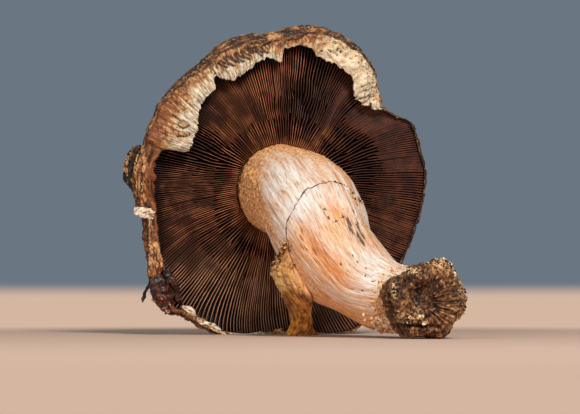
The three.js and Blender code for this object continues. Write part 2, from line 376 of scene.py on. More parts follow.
def walled(name, points, thickness, offset=0.0, **marks):
    """A thin piece from rows of points across it, given a thickness."""
    piece = grid(name, points.shape[1] - 1, len(points) - 1)
    shape(piece, over_table(points), **marks)
    thicken(piece, thickness, offset)
    shape(piece, over_table(vertices_of(piece)))
    return piece


def rope(name, course, place=vectors, columns=28, rows=40, crumple=0.4, size=1.6):
    """A closed lumpy cord or clod. Its course gives share, place, half width and half depth."""
    way = np.linspace(0, 1, rows + 1)
    x, y, z, wide, deep = smooth_table(course, way).T
    middle = place(x, y, z)
    along = unit(np.gradient(middle, axis=0))
    side = unit(np.cross(along, [0, -1, 0]))[:, None]
    front = np.cross(side[:, 0], along)[:, None]
    turn = np.linspace(0, 2 * math.pi, columns, endpoint=False)[None, :, None]
    ends = np.sqrt(1 - (2 * way - 1) ** 4)[:, None, None]
    away = ends * (wide[:, None, None] * np.cos(turn) * side + deep[:, None, None] * np.sin(turn) * front)
    points = middle[:, None] + away
    points = points + ends * unit(away) * (crumple * rough(points, size, 3))[..., None]
    turn, way, wide = turn[..., 0], way[:, None], wide[:, None]
    fibres = vectors(wide * np.cos(turn), wide * np.sin(turn), 4 * way)
    return wrapped(name, points, fibres=fibres * MM, tone=0.5 + 0.6 * rough(points, 1.1 * size, 3, 5.0))


def scrap(name, course, ragged=0.35, crumple=0.5, thickness=0.5):
    """A torn scrap on the cap. Its course gives share, place, half width, and tilt out of the gill face."""
    columns, rows = 22, 44
    way = np.linspace(0, 1, rows + 1)
    x, y, z, half, tilt = smooth_table(course, way).T
    middle = from_cap(x, y, z)
    along = unit(np.gradient(middle, axis=0))
    tilt = np.radians(tilt)[:, None]
    lying = unit(np.cross(along, cap_out)) * np.cos(tilt) + cap_out * np.sin(tilt)
    across = np.linspace(-1, 1, columns + 1)[None, :]
    run = np.linalg.norm(np.diff(middle, axis=0), axis=1).sum() * way[:, None]
    own = x.sum()
    torn = rough(vectors(run, 5 * np.sign(across), own), 1.3, 3)
    reach = half[:, None] * across * (1 + ragged * torn)
    points = middle[:, None] + reach[..., None] * lying[:, None]
    long_folds = rough(vectors(reach, 0.2 * run, own), 0.9, 3)
    ruffle = crumple * (0.8 * rough(points, 3, 2) + 0.9 * long_folds)
    points = points + cap_out * ruffle[..., None]
    fibres = vectors(reach + 0.3 * run, 0.25 * run, 0)
    tone = 0.5 + 0.3 * rough(points, 2.2, 3, 5.0) + 0.5 * long_folds + 0.1 * abs(across)
    return walled(name, points, thickness, fibres=fibres * MM, tone=tone)


def vertices_of(piece):
    """Where a piece's vertices are, in millimetres."""
    places = np.empty(3 * len(piece.data.vertices))
    piece.data.vertices.foreach_get("co", places)
    return places.reshape(-1, 3) / MM


def crumbs_at(name, places, sizes, tone):
    """Angular crumbs, each turned and dented its own way, and each with its tone."""
    deselect()
    bpy.ops.mesh.primitive_ico_sphere_add(subdivisions=1, radius=1)
    pattern = bpy.context.object
    ball = np.array([corner.co[:] for corner in pattern.data.vertices])
    count = len(places)
    spin = unit(random.normal(size=(count, 3, 3)))
    lumpy = ball[None] * (1 + 0.5 * random.uniform(-1, 1, (count, len(ball), 1)))
    points = np.einsum("nij,nvj->nvi", spin, lumpy) * sizes[:, None, None] + places[:, None]
    tone = np.repeat(np.clip(tone, 0, 1)[:, None], len(ball), axis=1)
    piece = join(name, copies_of(pattern, over_table(points), tone=tone))
    face_outwards(piece)
    bpy.ops.object.shade_flat()
    return piece


def strewn(name, places, least, spread, power, darkest=0.0):
    """Crumbs of uneven size and tone, most of them small, from `least` up to `least` + `spread`."""
    sizes = least + spread * random.uniform(0, 1, len(places)) ** power
    return crumbs_at(name, places, sizes, random.uniform(darkest, 1, len(places)))


# --- Making materials --------------------------------------------------------------------------------


def paint(red, green, blue):
    """A colour by its screen values, 0 to 255."""
    screen = np.array([red, green, blue]) / 255
    linear = [v / 12.92 if v <= 0.04045 else ((v + 0.055) / 1.055) ** 2.4 for v in screen]
    return (*linear, 1.0)


class Finish:
    """A material under way. Each call puts in a node and gives its output."""

    def __init__(self, name, roughness, **sockets):
        self.material = bpy.data.materials.new(name)
        self.material.use_nodes = True
        self.tree = self.material.node_tree
        self.shader = self.tree.nodes["Principled BSDF"]
        self.shader.inputs["Roughness"].default_value = roughness
        for socket, value in sockets.items():
            self.shader.inputs[socket.replace("_", " ")].default_value = value

    def add(self, kind, inputs, out=0, **settings):
        node = self.tree.nodes.new("ShaderNode" + kind)
        for name, value in settings.items():
            setattr(node, name, value)
        for name, value in inputs.items():
            self.feed(node.inputs[name], value)
        return node.outputs[out]

    def feed(self, socket, value):
        if isinstance(value, bpy.types.NodeSocket):
            self.tree.links.new(value, socket)
        else:
            socket.default_value = value

    def mark(self, name, out="Fac"):
        return self.add("Attribute", {}, out, attribute_name=name)

    def where(self):
        return self.add("TexCoord", {}, "Object")

    def grain(self, vector, size, detail, **inputs):
        """Noise with bumps about `size` millimetres across."""
        return self.add("TexNoise", {"Vector": vector, "Scale": 1 / (size * MM), "Detail": detail, **inputs})

    def dots(self, vector, size):
        """The distance from the middle of the nearest dot, of dots about `size` millimetres apart."""
        return self.add("TexVoronoi", {"Vector": vector, "Scale": 1 / (size * MM)}, "Distance", feature="F1")

    def scaled(self, value, low, high, first=0.0, last=1.0):
        inputs = {"Value": value, "From Min": low, "From Max": high, "To Min": first, "To Max": last}
        return self.add("MapRange", inputs, interpolation_type="SMOOTHSTEP")

    def maths(self, how, first, second):
        return self.add("Math", {0: first, 1: second}, operation=how, use_clamp=how != "MULTIPLY")

    def times(self, first, second):
        return self.maths("MULTIPLY", first, second)

    def plus(self, first, second):
        return self.maths("ADD", first, second)

    def blend(self, share, first, second):
        """From the first colour to the second. Each is an output, or screen values to be painted."""
        first, second = [paint(*shade) if isinstance(shade, tuple) else shade for shade in (first, second)]
        return self.add("Mix", {0: share, 6: first, 7: second}, 2, data_type="RGBA")

    def laid(self, colour, *layers):
        """A colour with others laid over it in turn, each as far as its share says."""
        for share, tint in layers:
            colour = self.blend(share, colour, tint)
        return colour

    def part(self, name, strength):
        """A mark on the points, at part of its strength."""
        return self.times(self.mark(name), strength)

    def ramp(self, value, *stops):
        """A colour by a value, from stops with a place and screen values."""
        colour = self.add("ValToRGB", {"Fac": value})
        elements = colour.node.color_ramp.elements
        while len(elements) < len(stops):
            elements.new(0.5)
        for element, (place, shade) in zip(elements, stops):
            element.position = place
            element.color = paint(*shade)
        return colour

    def done(self, colour, height, depth, strength=1.0):
        """Ends the material with its colour and a bump `depth` millimetres deep."""
        self.feed(self.shader.inputs["Base Color"], colour)
        bump = self.add("Bump", {"Height": height, "Distance": depth * MM, "Strength": strength})
        self.feed(self.shader.inputs["Normal"], bump)
        return self.material


# --- The cap: one growth of skin, flesh and rolled margin --------------------------------------------


def gill_levels(share):
    """Height of the gills' free edges over the margin's plane, and of the flesh that they hang from."""
    edge, depth = np.moveaxis(smooth_table(GILL_EDGES, share), -1, 0)
    return edge, mixed(-SEAT_DEPTH, edge - depth, step(0.3, 0.38, share))


def margin(directions, rows):
    """Values of a table of the margin in these directions."""
    return smooth_table(rows, np.degrees(directions) % 360, period=360)


def gills_reach(directions):
    """How far from the cap's middle the gills end."""
    return margin(directions, OUTLINE) - 0.6 - 0.75 * margin(directions, FOLD)


FINE_COLUMNS = 490
COARSE_COLUMNS = 120
DOME_ROWS = 66
FOLD_ROWS = 54
LIP_ROWS = 5
UNDER_ROWS = 7
CEILING_SHARES = [1, 0.97, 0.92, 0.84, 0.76, 0.66, 0.56, 0.48, 0.42, 0.38, 0.34, 0.3, 0]


def cap_directions():
    """Directions round the cap, closer together where its margin is rolled and torn."""
    torn = np.linspace(30, 245, FINE_COLUMNS, endpoint=False)
    plain = np.linspace(245, 390, COARSE_COLUMNS, endpoint=False)
    return np.radians(np.concatenate([torn, plain]))


def dome_shares():
    """Shares of the radius at which the dome has its rows, close together near the margin."""
    fine = np.linspace(0, 1, 2000)
    height = -DOME_HEIGHT * np.sqrt(1 - fine**DOME_FULLNESS)
    length = np.concatenate([[0], np.cumsum(np.hypot(MEAN_RADIUS * np.diff(fine), np.diff(height)))])
    back = np.arange(DOME_ROWS + 1, dtype=float)
    growth = (length[-1] - 0.42 * DOME_ROWS) / DOME_ROWS**3
    return np.interp(length[-1] - 0.42 * back - growth * back**3, length, fine)[::-1]


def cap_margin(directions):
    """The margin in each direction: its outside, fold, free edge and skin, and how thick it is."""
    ring = MEAN_RADIUS * vectors(np.cos(directions), np.sin(directions), 0)
    rim = SimpleNamespace(fold=margin(directions, FOLD))
    rim.outline = margin(directions, OUTLINE) + 0.3 * rough(ring, 3) + 0.22 * rough(ring, 1.1, 2)
    ragged = step(0.8, 3, rim.outline - margin(directions, LIP))
    rim.lip = margin(directions, LIP) + ragged * (0.7 * rough(ring, 2.6, 2) + 0.3 * rough(ring, 0.9))
    rim.band = margin(directions, SKIN_BAND) + 0.7 * rough(ring, 4, 2)
    rim.curve = rim.fold * math.pi / 2
    rim.flap = np.maximum(rim.outline - rim.fold - rim.lip, 0.05)
    rim.total = rim.curve + rim.flap
    rim.thickness = 0.9 + 0.3 * step(1, 6, rim.flap) + 0.25 * rough(ring, 5)
    return rim


def dome_rows(rim):
    """Radius and height of the rows from the apex to the margin."""
    shares = dome_shares()[:-1, None]
    radius = shares * mixed(MEAN_RADIUS, rim.outline, shares**4)
    return radius, -DOME_HEIGHT * np.sqrt(1 - shares**DOME_FULLNESS) + 0 * rim.outline


def fold_rows(rim):
    """The rows round the fold and on along the torn flap."""
    way = np.linspace(0, 1, FOLD_ROWS)[:, None] * rim.total
    turn = np.minimum(way / rim.fold, math.pi / 2)
    over = np.clip((way - rim.curve) / rim.flap, 0, 1)
    radius = rim.outline - rim.fold * (1 - np.cos(turn)) - over * rim.flap
    return radius, rim.fold * np.sin(turn) + rim.flap * (0.09 * np.sin(math.pi * over) - 0.12 * over**2)


def lip_rows(rim, top):
    """The rows round the free edge, whose upper side is at `top`."""
    rounds = np.linspace(math.pi / 2, -math.pi / 2, LIP_ROWS + 2)[1:-1, None]
    return rim.lip - rim.thickness / 2 * np.cos(rounds), top - rim.thickness / 2 * (1 - np.sin(rounds))


def under_rows(rim, top, wall):
    """The rows back under the flap, to the wall at the gills' ends."""
    back = np.linspace(0, 1, UNDER_ROWS)[:, None]
    foot = np.minimum(rim.fold - rim.thickness - 0.4, 0.6 * rim.fold - 1)
    return mixed(rim.lip + 0.1, wall, back), mixed(top - rim.thickness, foot, back)


def ceiling_rows(wall):
    """The rows of the flesh that the gills hang from, in to the stem's seat."""
    shares = np.array(CEILING_SHARES)[:, None]
    height = gill_levels(shares)[1] + 0 * wall
    height[-1] = -SEAT_DEPTH
    return shares * wall, height


def cap_profile(directions):
    """The cap's plain surface in rows: over the dome and the margin, and back over the gills to the stem.

    Distances start at the outside of the fold: less than 0 on the dome, and `total` at the free edge."""
    rim = cap_margin(directions)
    wall = gills_reach(directions) + 0.35
    dome, fold = dome_rows(rim), fold_rows(rim)
    top = fold[1][-1]
    parts = [dome, fold, lip_rows(rim, top), under_rows(rim, top, wall), ceiling_rows(wall)]
    radius, height = [np.vstack(rows) for rows in zip(*parts)]

    count = len(dome[0])
    steps = np.hypot(np.diff(radius[: count + 1], axis=0), np.diff(height[: count + 1], axis=0))
    on_dome = -np.cumsum(steps[::-1], axis=0)[::-1]
    on_fold = np.linspace(0, 1, FOLD_ROWS)[:, None] * rim.total
    beyond = np.repeat(rim.total[None] + 0.5, len(radius) - count - FOLD_ROWS, axis=0)
    inside = np.zeros_like(radius)
    inside[count + FOLD_ROWS + 2 :] = 1
    return SimpleNamespace(
        radius=radius, height=height, distance=np.vstack([on_dome, on_fold, beyond]), inside=inside,
        band=rim.band, total=rim.total,
    )


# Cracks in the rolled margin, by their points on the gill face.
MARGIN_CRACKS = [
    [(-39.4, 20.4), (-37, 19.8), (-34.4, 21.2)], [(-39.2, 17), (-36.8, 16.4), (-34.2, 17.6)],
    [(-38.8, 22.2), (-37, 23), (-35, 22)], [(-37.6, 23.4), (-36, 22.8)], [(-41, 25), (-39.4, 23.6)],
    [(17.5, 50.9), (18.4, 50), (19.3, 49.9)], [(19.2, 51.8), (20.4, 50.6), (20.8, 48.6)],
    [(31, 37.5), (34, 38.9), (36.6, 39.2)], [(30.4, 35), (33.4, 36.4), (36.8, 36.9)],
    [(30.6, 32.4), (33, 33.2), (36.4, 35)], [(32.6, 31.2), (35.6, 33.4), (37.4, 34)],
    [(35.2, 29.6), (35.6, 31.6), (37, 32.6)], [(-25.6, 46), (-24.8, 42.8), (-23.4, 40.4)],
    [(-27.4, 45.2), (-26.2, 42), (-25.4, 40.2)], [(-23.4, 45.6), (-23, 43.4), (-21.6, 42)],
]
# Two raised lozenges at the end of the left-hand flap.
LOZENGES = [(-36.8, 21.4, 2.2, 1.2), (-36.6, 17.9, 2.3, 1.1)]
# Scorched patches of the skin near the margin: place on the gill face and half sizes.
BURNT = [
    (-9.5, 53.4, 4.6, 1.5), (-16.6, 50.6, 4, 1.5), (-23.6, 47.4, 3, 2.2), (-13, 50.3, 3, 0.9),
    (3, 56.6, 3.2, 1.8), (-29, 44.6, 3, 1.2), (-36.4, 38.4, 2, 3), (-43.6, 31, 1, 4), (-7, 51.6, 1.6, 0.8),
    (26.5, 52.4, 6, 1.4), (35, 45.6, 3, 3),
]
# Holes in the pale flesh of the right-hand flap.
HOLES = [
    (15.6, 53.1, 0.55, 0.35), (14.7, 50.2, 0.5, 0.4), (20, 53.4, 0.6, 0.35), (20.9, 51.1, 0.5, 0.9),
    (22.2, 50.4, 0.5, 0.8), (23.2, 51.8, 0.4, 0.4), (26.3, 47.9, 0.6, 0.3), (29.2, 46.4, 0.4, 0.4),
    (30.6, 47.2, 0.4, 0.5), (31.4, 45, 0.45, 0.4), (32.8, 44.2, 0.4, 0.4), (33.3, 42.4, 0.4, 0.4),
    (28.2, 49, 0.4, 0.3), (34.8, 38, 0.4, 0.4), (35.4, 33.2, 0.4, 0.3), (17.6, 54.6, 0.4, 0.3),
]


def slanting_cracks():
    """Short cracks side by side over the top left lobe of the margin."""
    lines = []
    for at in np.arange(99, 119, 1.45):
        start = at + random.uniform(-0.4, 0.4)
        outer = 52.2 - 0.06 * (at - 99) + random.uniform(-0.5, 0.5)
        inner = outer - random.uniform(2, 4)
        reach = np.array([outer, (outer + inner) / 2, inner])
        turn = np.radians(start + np.array([0.9, -0.2, -1.8]))
        lines.append(vectors(reach * np.cos(turn), reach * np.sin(turn)))
    return lines


def cap_surface(directions):
    """The cap's plain surface with the places and the unevenness that its relief and its marks share."""
    cap = cap_profile(directions)
    right, up = np.cos(directions), np.sin(directions)
    cap.degrees = np.degrees(directions) % 360
    cap.spots = vectors(cap.radius * right, cap.radius * up, cap.height)
    cap.flat = cap.spots[..., :2]
    cap.fibres = vectors(MEAN_RADIUS * right, MEAN_RADIUS * up, 0.12 * cap.distance)
    cap.wrinkles = vectors(14 * right, 14 * up, cap.distance)
    cap.bands = cap.wrinkles * [0.45, 0.45, 1]

    cap.outside = 1 - cap.inside
    cap.front = cap.outside * step(-1.5, 0.5, cap.distance)
    cap.skin = 1 - step(-0.25, 0.25, cap.distance - cap.band + 0.6 * rough(cap.spots, 1.6, 2))
    cap.flesh = 1 - cap.skin
    cap.along = np.clip((cap.distance - cap.band) / (cap.total - cap.band + 0.01), 0, 1)
    stretches = (LEFT_FLAP, TOP_LOBE, RIGHT_FLAP, LEFT_BAND)
    there = [between(cap.degrees, *stretch) + 0 * cap.along for stretch in stretches]
    cap.left_flap, cap.top_lobe, cap.right_flap, cap.left_band = there
    cap.creased = between(cap.degrees, *CREASES) * cap.flesh

    cap.coarse = rough(cap.spots, 2.2, 3, 3.0)
    cap.streak = rough(cap.fibres * [1, 1, 0.6], 1.6, 3)
    cap.jitter = vectors(cap.coarse, cap.streak)
    cap.furrow = rough(cap.bands, 1.5, 2)
    cap.bark = rough(cap.wrinkles * [1.6, 1.6, 1], 1.5, 3, 6.0)
    cap.plate = cells(cap.spots, 3.4) + 0.35 * cells(cap.spots, 1.5, 7.0)
    cap.scaly = step(-40, -6, cap.distance)
    cap.wave = ((cap.degrees + 9 * cap.along) / 4.4 + 0.14 * cap.coarse) % 1
    pleated = (cap.left_flap + cap.top_lobe) * cap.flesh * step(0.25, 0.8, cap.along)
    cap.groove = pleated * step(0.16, 0.04, abs(rough(cap.fibres * [1, 1, 0.7], 1.7, 2, 9.0)))
    cap.seam = peak(cap.distance - cap.band, 0.5) * step(0.6, 3, cap.total)
    # A raised crest on the skin, just short of its edge over the flesh; the finish also paints a highlight on
    # it.
    ridge = peak(cap.distance - cap.band + 0.9, 0.45) * step(2, 5, cap.total)
    cap.ridge = ridge * step(-0.3, 0.5, cap.coarse)
    return cap


def cap_cuts(cap):
    """Cracks and holes in the margin, and its lozenges with the cuts round them."""
    cracks = strokes(cap.flat + 0.5 * cap.jitter, MARGIN_CRACKS, 0.4) * step(-0.5, 0.2, cap.coarse)
    slants = strokes(cap.flat + 0.3 * cap.jitter, slanting_cracks(), 0.65) * step(-3, -1, cap.distance)
    holes = step(0.35, 0.7, ovals(cap.flat, HOLES))
    cap.cut = strongest(cracks * cap.front, slants * cap.outside, holes * cap.front)
    lozenge = ovals(cap.flat + 0.3 * cap.jitter, LOZENGES)
    cap.lozenges = step(0.45, 0.6, lozenge) * cap.front
    cap.cut_round = step(0.25, 0.36, lozenge) * step(0.52, 0.44, lozenge) * cap.front


def cap_relief(cap):
    """How far each point of the cap stands proud of its plain surface."""
    scales = 0.45 * (step(0.05, 0.55, cap.plate) - 0.7) * mixed(0.35, 1, cap.scaly)
    scales += 0.2 * rough(cap.spots, 1.3, 2) + 0.35 * cap.scaly * cap.bark
    scales *= cap.skin * mixed(1, 0.6, between(cap.degrees, *TOP_OF_MARGIN))
    swells = 0.5 * rough(cap.spots, 9, 2) * step(0, 3, abs(cap.distance))
    along_rim = cap.left_band * (1 - 0.4 * cap.skin) * (0.9 * rough(cap.bands, 3.2, 2) + 0.6 * cap.furrow)

    near_lip = step(9, 1, cap.total - cap.distance)
    pleats = 0.26 * cap.streak * mixed(0.4, 1, near_lip)
    pleats += 0.15 * rough(cap.spots, 0.9) + 0.2 * rough(cap.spots, 1.9, 2, 2.0)
    pleats *= 1 - 0.85 * cap.left_band - 0.75 * cap.right_flap
    folds = 0.7 * rough(cap.fibres * [1, 1, 2.5], 5.5, 2)
    crumpled = 1.3 * cap.right_flap * (0.22 - abs(rough(cap.spots, 4.2, 2, 5.0)))

    proud = cap.outside * (scales + swells + along_rim + cap.flesh * (pleats + folds))
    proud += cap.outside * (0.7 * cap.ridge - 0.55 * cap.seam)
    proud += cap.flesh * crumpled + 1.3 * cap.creased * (cap.wave - 0.6)
    return proud + 0.8 * cap.lozenges - 0.6 * cap.cut - 0.35 * cap.groove


def cap_paleness(cap, directions):
    """How pale the flesh is at each point: 0 brown, 0.5 tan, 1 white, with painted highlights between the
    left band's furrows.
    """
    start, end = np.moveaxis(margin(directions, FLESH), -1, 0)
    pale = mixed(start, end, step(0.24, 0.96, cap.along + 0.26 * cap.streak + 0.16 * cap.coarse))
    pale -= 0.35 * cap.right_flap * step(0.1, 0.7, cap.coarse) * step(0.6, 0.2, cap.along)
    # Painted highlights on the raised strips between the left band's furrows.
    pale += 0.4 * cap.left_band * step(-0.1, 0.5, cap.furrow) * step(0.8, 0.5, cap.along)
    pale -= 0.3 * cap.left_band * step(0.6, 0.8, cap.along)
    pale += 0.4 * cap.top_lobe * step(0.7, 0.92, cap.along)
    return pale + cap.left_flap * (0.12 * step(0.25, 0.5, cap.along) + 0.3 * step(0.72, 0.92, cap.along))


def cap_cracks_and_painted_shade(cap):
    """Cracks, cuts and scale borders, darker in the bark's low parts, and painted shade in the seam, furrows,
    grooves and folds.
    """
    return strongest(
        0.95 * cap.cut,
        0.9 * cap.cut_round,
        # Painted shadow line in the groove where the skin ends.
        0.85 * cap.seam * step(-0.4, 0.3, cap.coarse),
        0.6 * cap.skin * (1 - step(0.02, 0.22, cap.plate)) * mixed(0.25, 1, cap.scaly),
        0.55 * cap.skin * cap.scaly * step(0.25, 0.55, -cap.bark),
        # Painted shade in the left band's furrows.
        0.85 * cap.left_band * cap.outside * step(-6, -3, cap.distance) * step(0.12, 0.4, -cap.furrow),
        # Painted shade in the pleats' grooves, and a painted shadow under each crease's fold.
        0.5 * cap.groove,
        0.45 * cap.creased * step(0.2, 0.06, cap.wave),
    )


def cap_scorching(cap):
    """Where the skin is scorched or worn to nearly black, and where it is made nearly black along the
    margin's low sides.
    """
    patches = step(0.3, 0.5, ovals(cap.flat, BURNT) + 0.35 * cap.coarse) * step(-9, -3, cap.distance)
    low_sides = sum(between(cap.degrees, *stretch) for stretch in LOW_SIDES)
    return strongest(
        patches * mixed(0.15, 1, cap.skin),
        cap.right_flap * cap.skin * step(-2, 0, cap.distance) * step(0.5, 0.1, cap.coarse),
        0.85 * low_sides * step(-24, -10, cap.distance),
        0.85 * step(0.08, 0.28, rough(cap.spots, 6, 4, 11.0)) * cap.skin * step(-22, -8, cap.distance),
    )


def cap_marks(cap, directions):
    """Everything that the cap's finish reads at each point."""
    on_flap = cap.left_flap * cap.flesh * step(0.6, 0.1, cap.along + 0.3 * cap.streak)
    on_band = strongest(0.8 * step(0.1, 0.5, rough(cap.bands, 2.6, 3, 4.0)), step(0.75, 0.95, cap.along))
    marks = clipped(
        skin=cap.skin,
        pale=cap_paleness(cap, directions),
        # Cracks and cuts, with painted shade in the seam, furrows, grooves and creases.
        crack=cap_cracks_and_painted_shade(cap),
        burnt=cap_scorching(cap),
        speckle=cap.right_flap * cap.flesh * step(0.5, 0.18, cap.along + 0.2 * cap.coarse),
        red=on_flap * step(-0.25, 0.35, cap.streak + 0.4 * cap.coarse) + cap.left_band * on_band,
        ochre=cap.lozenges,
        crown=step(-8, -26, cap.distance + 8 * rough(cap.spots, 8, 2)) * cap.outside,
        ridge=cap.ridge,
        plain=cap.right_flap * step(-3, -1, cap.distance),
        inside=cap.inside,
    )
    fibres = mixed(cap.fibres, cap.bands, cap.left_band[..., None])
    marks["fibres"] = mixed(fibres, 0.7 * cap.spots, marks["plain"][..., None]) * MM
    marks["rings"] = cap.wrinkles * MM
    return marks


def cap_skin_and_flesh():
    directions = cap_directions()
    cap = cap_surface(directions)
    cap_cuts(cap)
    points = from_cap(*np.moveaxis(cap.spots, -1, 0))
    near_apex = 5
    points = points + outward(points, CAP_CENTRE, near_apex) * cap_relief(cap)[..., None]
    # Where the rows are pressed on the table, each lies a hair above the one before, so that none meet.
    apart = np.linspace(0, 0.1, len(points))[:, None] + 0.05 * cap.inside
    points[..., 2] = np.maximum(points[..., 2], apart)
    return wrapped("cap_flesh_and_skin", points, **cap_marks(cap, directions))


def cap_grains(look):
    """The grains that the skin and the flesh of the cap share."""
    spot, fibre = look.where(), look.mark("fibres", "Vector")
    return SimpleNamespace(
        spot=spot,
        mottle=look.grain(spot, 3, 5),
        fine=look.grain(spot, 0.7, 4),
        streaks=look.grain(fibre, 0.8, 5, Roughness=0.65),
        hairs=look.grain(fibre, 0.34, 3),
    )


def cap_skin_colour(look, grain):
    """Dark scales on orange-brown skin near the margin, and fibrous brown on the crown."""
    rings = look.grain(look.mark("rings", "Vector"), 1.3, 5, Roughness=0.6)
    both = look.plus(look.times(rings, 0.6), look.times(grain.mottle, 0.42))
    skin = look.ramp(
        look.plus(both, look.times(grain.fine, 0.1)),
        (0.43, (38, 22, 13)), (0.50, (92, 54, 30)), (0.57, (150, 97, 53)), (0.67, (214, 162, 104)),
    )
    crown = look.ramp(
        look.plus(look.times(grain.streaks, 0.6), look.times(grain.mottle, 0.4)),
        (0.36, (116, 76, 48)), (0.5, (158, 112, 74)), (0.64, (194, 150, 106)),
    )
    return look.blend(look.mark("crown"), skin, crown)


def cap_flesh_colour(look, grain):
    """Flesh from brown to white, with dark and white hairs along its pleats, blotches and specks."""
    pale, plain, speckle = look.mark("pale"), look.mark("plain"), look.mark("speckle")
    flesh = look.ramp(
        look.plus(pale, look.scaled(grain.streaks, 0.35, 0.65, -0.28, 0.28)),
        (0.0, (118, 66, 30)), (0.22, (176, 112, 60)), (0.48, (212, 164, 112)),
        (0.72, (232, 204, 158)), (1.0, (252, 243, 218)),
    )
    grey = look.times(look.scaled(grain.streaks, 0.52, 0.62), look.scaled(pale, 0.6, 0.95))
    tinted = look.times(look.scaled(grain.mottle, 0.5, 0.6), plain)
    lines = look.times(look.scaled(grain.hairs, 0.54, 0.63), look.scaled(pale, 0.35, 0.8, 0.6, 0.8))
    calm = look.scaled(plain, 0.0, 1.0, 1.0, 0.25)
    bright = look.times(look.scaled(grain.hairs, 0.44, 0.34, 0.0, 0.6), look.scaled(pale, 0.4, 0.8))
    blotch = look.scaled(look.grain(grain.spot, 1.3, 5), 0.5, 0.58, 0.0, 0.75)
    stains = look.times(look.scaled(grain.fine, 0.5, 0.62), speckle)
    specks = look.scaled(look.dots(grain.spot, 1.5), 0.3, 0.16)
    return look.laid(
        flesh,
        (look.times(grey, 0.35), (176, 166, 150)),
        (look.times(tinted, 0.6), (222, 184, 132)),
        (look.times(plain, 0.2), (214, 184, 132)),
        (look.times(lines, calm), (94, 66, 44)),
        (bright, (252, 246, 228)),
        (look.times(blotch, look.scaled(pale, 0.9, 0.3)), (84, 47, 26)),
        (look.part("ochre", 0.85), (212, 156, 90)),
        (look.part("red", 0.6), (146, 80, 38)),
        (look.times(stains, 0.6), (150, 108, 62)),
        (look.times(specks, speckle), (52, 36, 24)),
    )


def cap_finish():
    """Skin and flesh, with what is scorched, cracked and hidden inside laid over them, a painted highlight on
    the raised crest by the skin's edge, and painted shade in grooves and furrows.
    """
    look = Finish("cap skin and flesh", 0.72)
    grain = cap_grains(look)
    colour = look.blend(look.mark("skin"), cap_flesh_colour(look, grain), cap_skin_colour(look, grain))
    colour = look.laid(
        colour,
        (look.part("burnt", look.scaled(grain.fine, 0.68, 0.52)), (32, 20, 14)),
        # Painted highlight on the raised crest by the skin's edge.
        (look.part("ridge", 0.7), (206, 146, 84)),
        # The crack mark: cracks and cuts, and painted shade in the seam, furrows, grooves and creases.
        (look.mark("crack"), (34, 19, 11)),
        (look.mark("inside"), (52, 28, 18)),
    )
    grit = look.times(grain.fine, look.scaled(look.mark("pale"), 0.5, 0.9, 1.0, 0.4))
    smoother = look.scaled(look.mark("plain"), 0.0, 1.0, 1.0, 0.4)
    return look.done(colour, look.times(look.plus(grit, grain.streaks), smoother), 0.55, 0.9)


# --- What is left of the veil and torn skin on the margin ---------------------------------------------

# Each course: share, place on the gill face and height over it, half width, tilt in degrees.
PALE_SCRAPS = {
    "torn_shred": [
        (0, -53.8, -12, 1.6, 1.2, 8), (0.4, -50.6, -12.2, 3, 2, 0), (1, -46.2, -13.2, 2.6, 1.8, -10),
    ],
    "torn_triangle": [
        (0, -34.4, -48.6, 1.6, 0.5, 0), (0.5, -31.2, -50, 2.4, 1.3, 10), (1, -29, -53, 1.4, 0.4, 0),
    ],
    "torn_scraps": [
        (0, -28.8, -53, 2.2, 0.3, 10), (0.2, -26.8, -54.2, 2.6, 1.2, 0), (0.4, -24.6, -55, 2.2, 0.6, 30),
        (0.6, -22.2, -56.4, 2.4, 1.2, 0), (0.85, -18.4, -59, 1.8, 0.6, 10), (1, -15.4, -60.8, 1, 0.2, 0),
    ],
    "torn_lip": [
        (0, -16, -60, 1.2, 0.4, 20), (0.5, -7, -60.2, 1.6, 0.8, 10), (1, 1.6, -59.2, 1.2, 0.4, 20),
    ],
    "flap_strip": [
        (0, 36.6, 38.4, 3, 0.4, -30), (0.5, 38.2, 34, 2.6, 0.7, -35), (1, 40, 29, 1.4, 0.4, -20),
    ],
}
TAN_SCRAPS = {
    "torn_flake": [
        (0, -47.2, -22, 2.2, 0.9, 0), (0.3, -45.8, -26.4, 3.2, 2.1, 12), (0.7, -45.4, -32, 3.2, 2.5, -8),
        (1, -46.6, -37, 2, 1.3, 0),
    ],
    "folded_lip": [
        (0, -51.2, 11.4, 1.6, 1.1, 40), (0.35, -49.4, 6, 3.2, 2.1, 25), (0.7, -49.6, -1.6, 3.4, 2.2, 30),
        (1, -50, -8.6, 2, 1.2, 10),
    ],
}
# Each course: share, place on the gill face and height over it, half width, half depth.
DARK_CLODS = {
    "skin_knob": [
        (0, -51.6, 12.6, -1, 1.2, 1.4), (0.25, -54.2, 9.2, -1, 2.2, 2.2), (0.5, -55, 5.2, -0.6, 1.8, 2),
        (0.75, -56, 0.8, -1, 2.2, 2.2), (1, -52.8, -5.6, -1, 1, 1.2),
    ],
    "thin_stalk": [
        (0, -45.4, -37.6, -1, 0.9, 0.9), (0.5, -47.6, -42.2, -1.4, 0.55, 0.5),
        (0.9, -49, -46.4, -1.8, 0.9, 0.7), (1, -49.2, -48, -1.8, 0.6, 0.6),
    ],
}
KNOB_SCRAPS = {
    "curled_rind": [
        (0, -54.4, 12.2, 1, 0.5, 60), (0.5, -57.2, 5, 1.4, 1.2, 50), (1, -56.6, -1.6, 1, 0.6, 60),
    ],
    "curled_rind_2": [
        (0, -52.4, 10.6, 2.2, 0.5, 20), (0.5, -53.6, 4, 2.4, 1.1, 40), (1, -52.6, -4.6, 1.4, 0.6, 20),
    ],
}
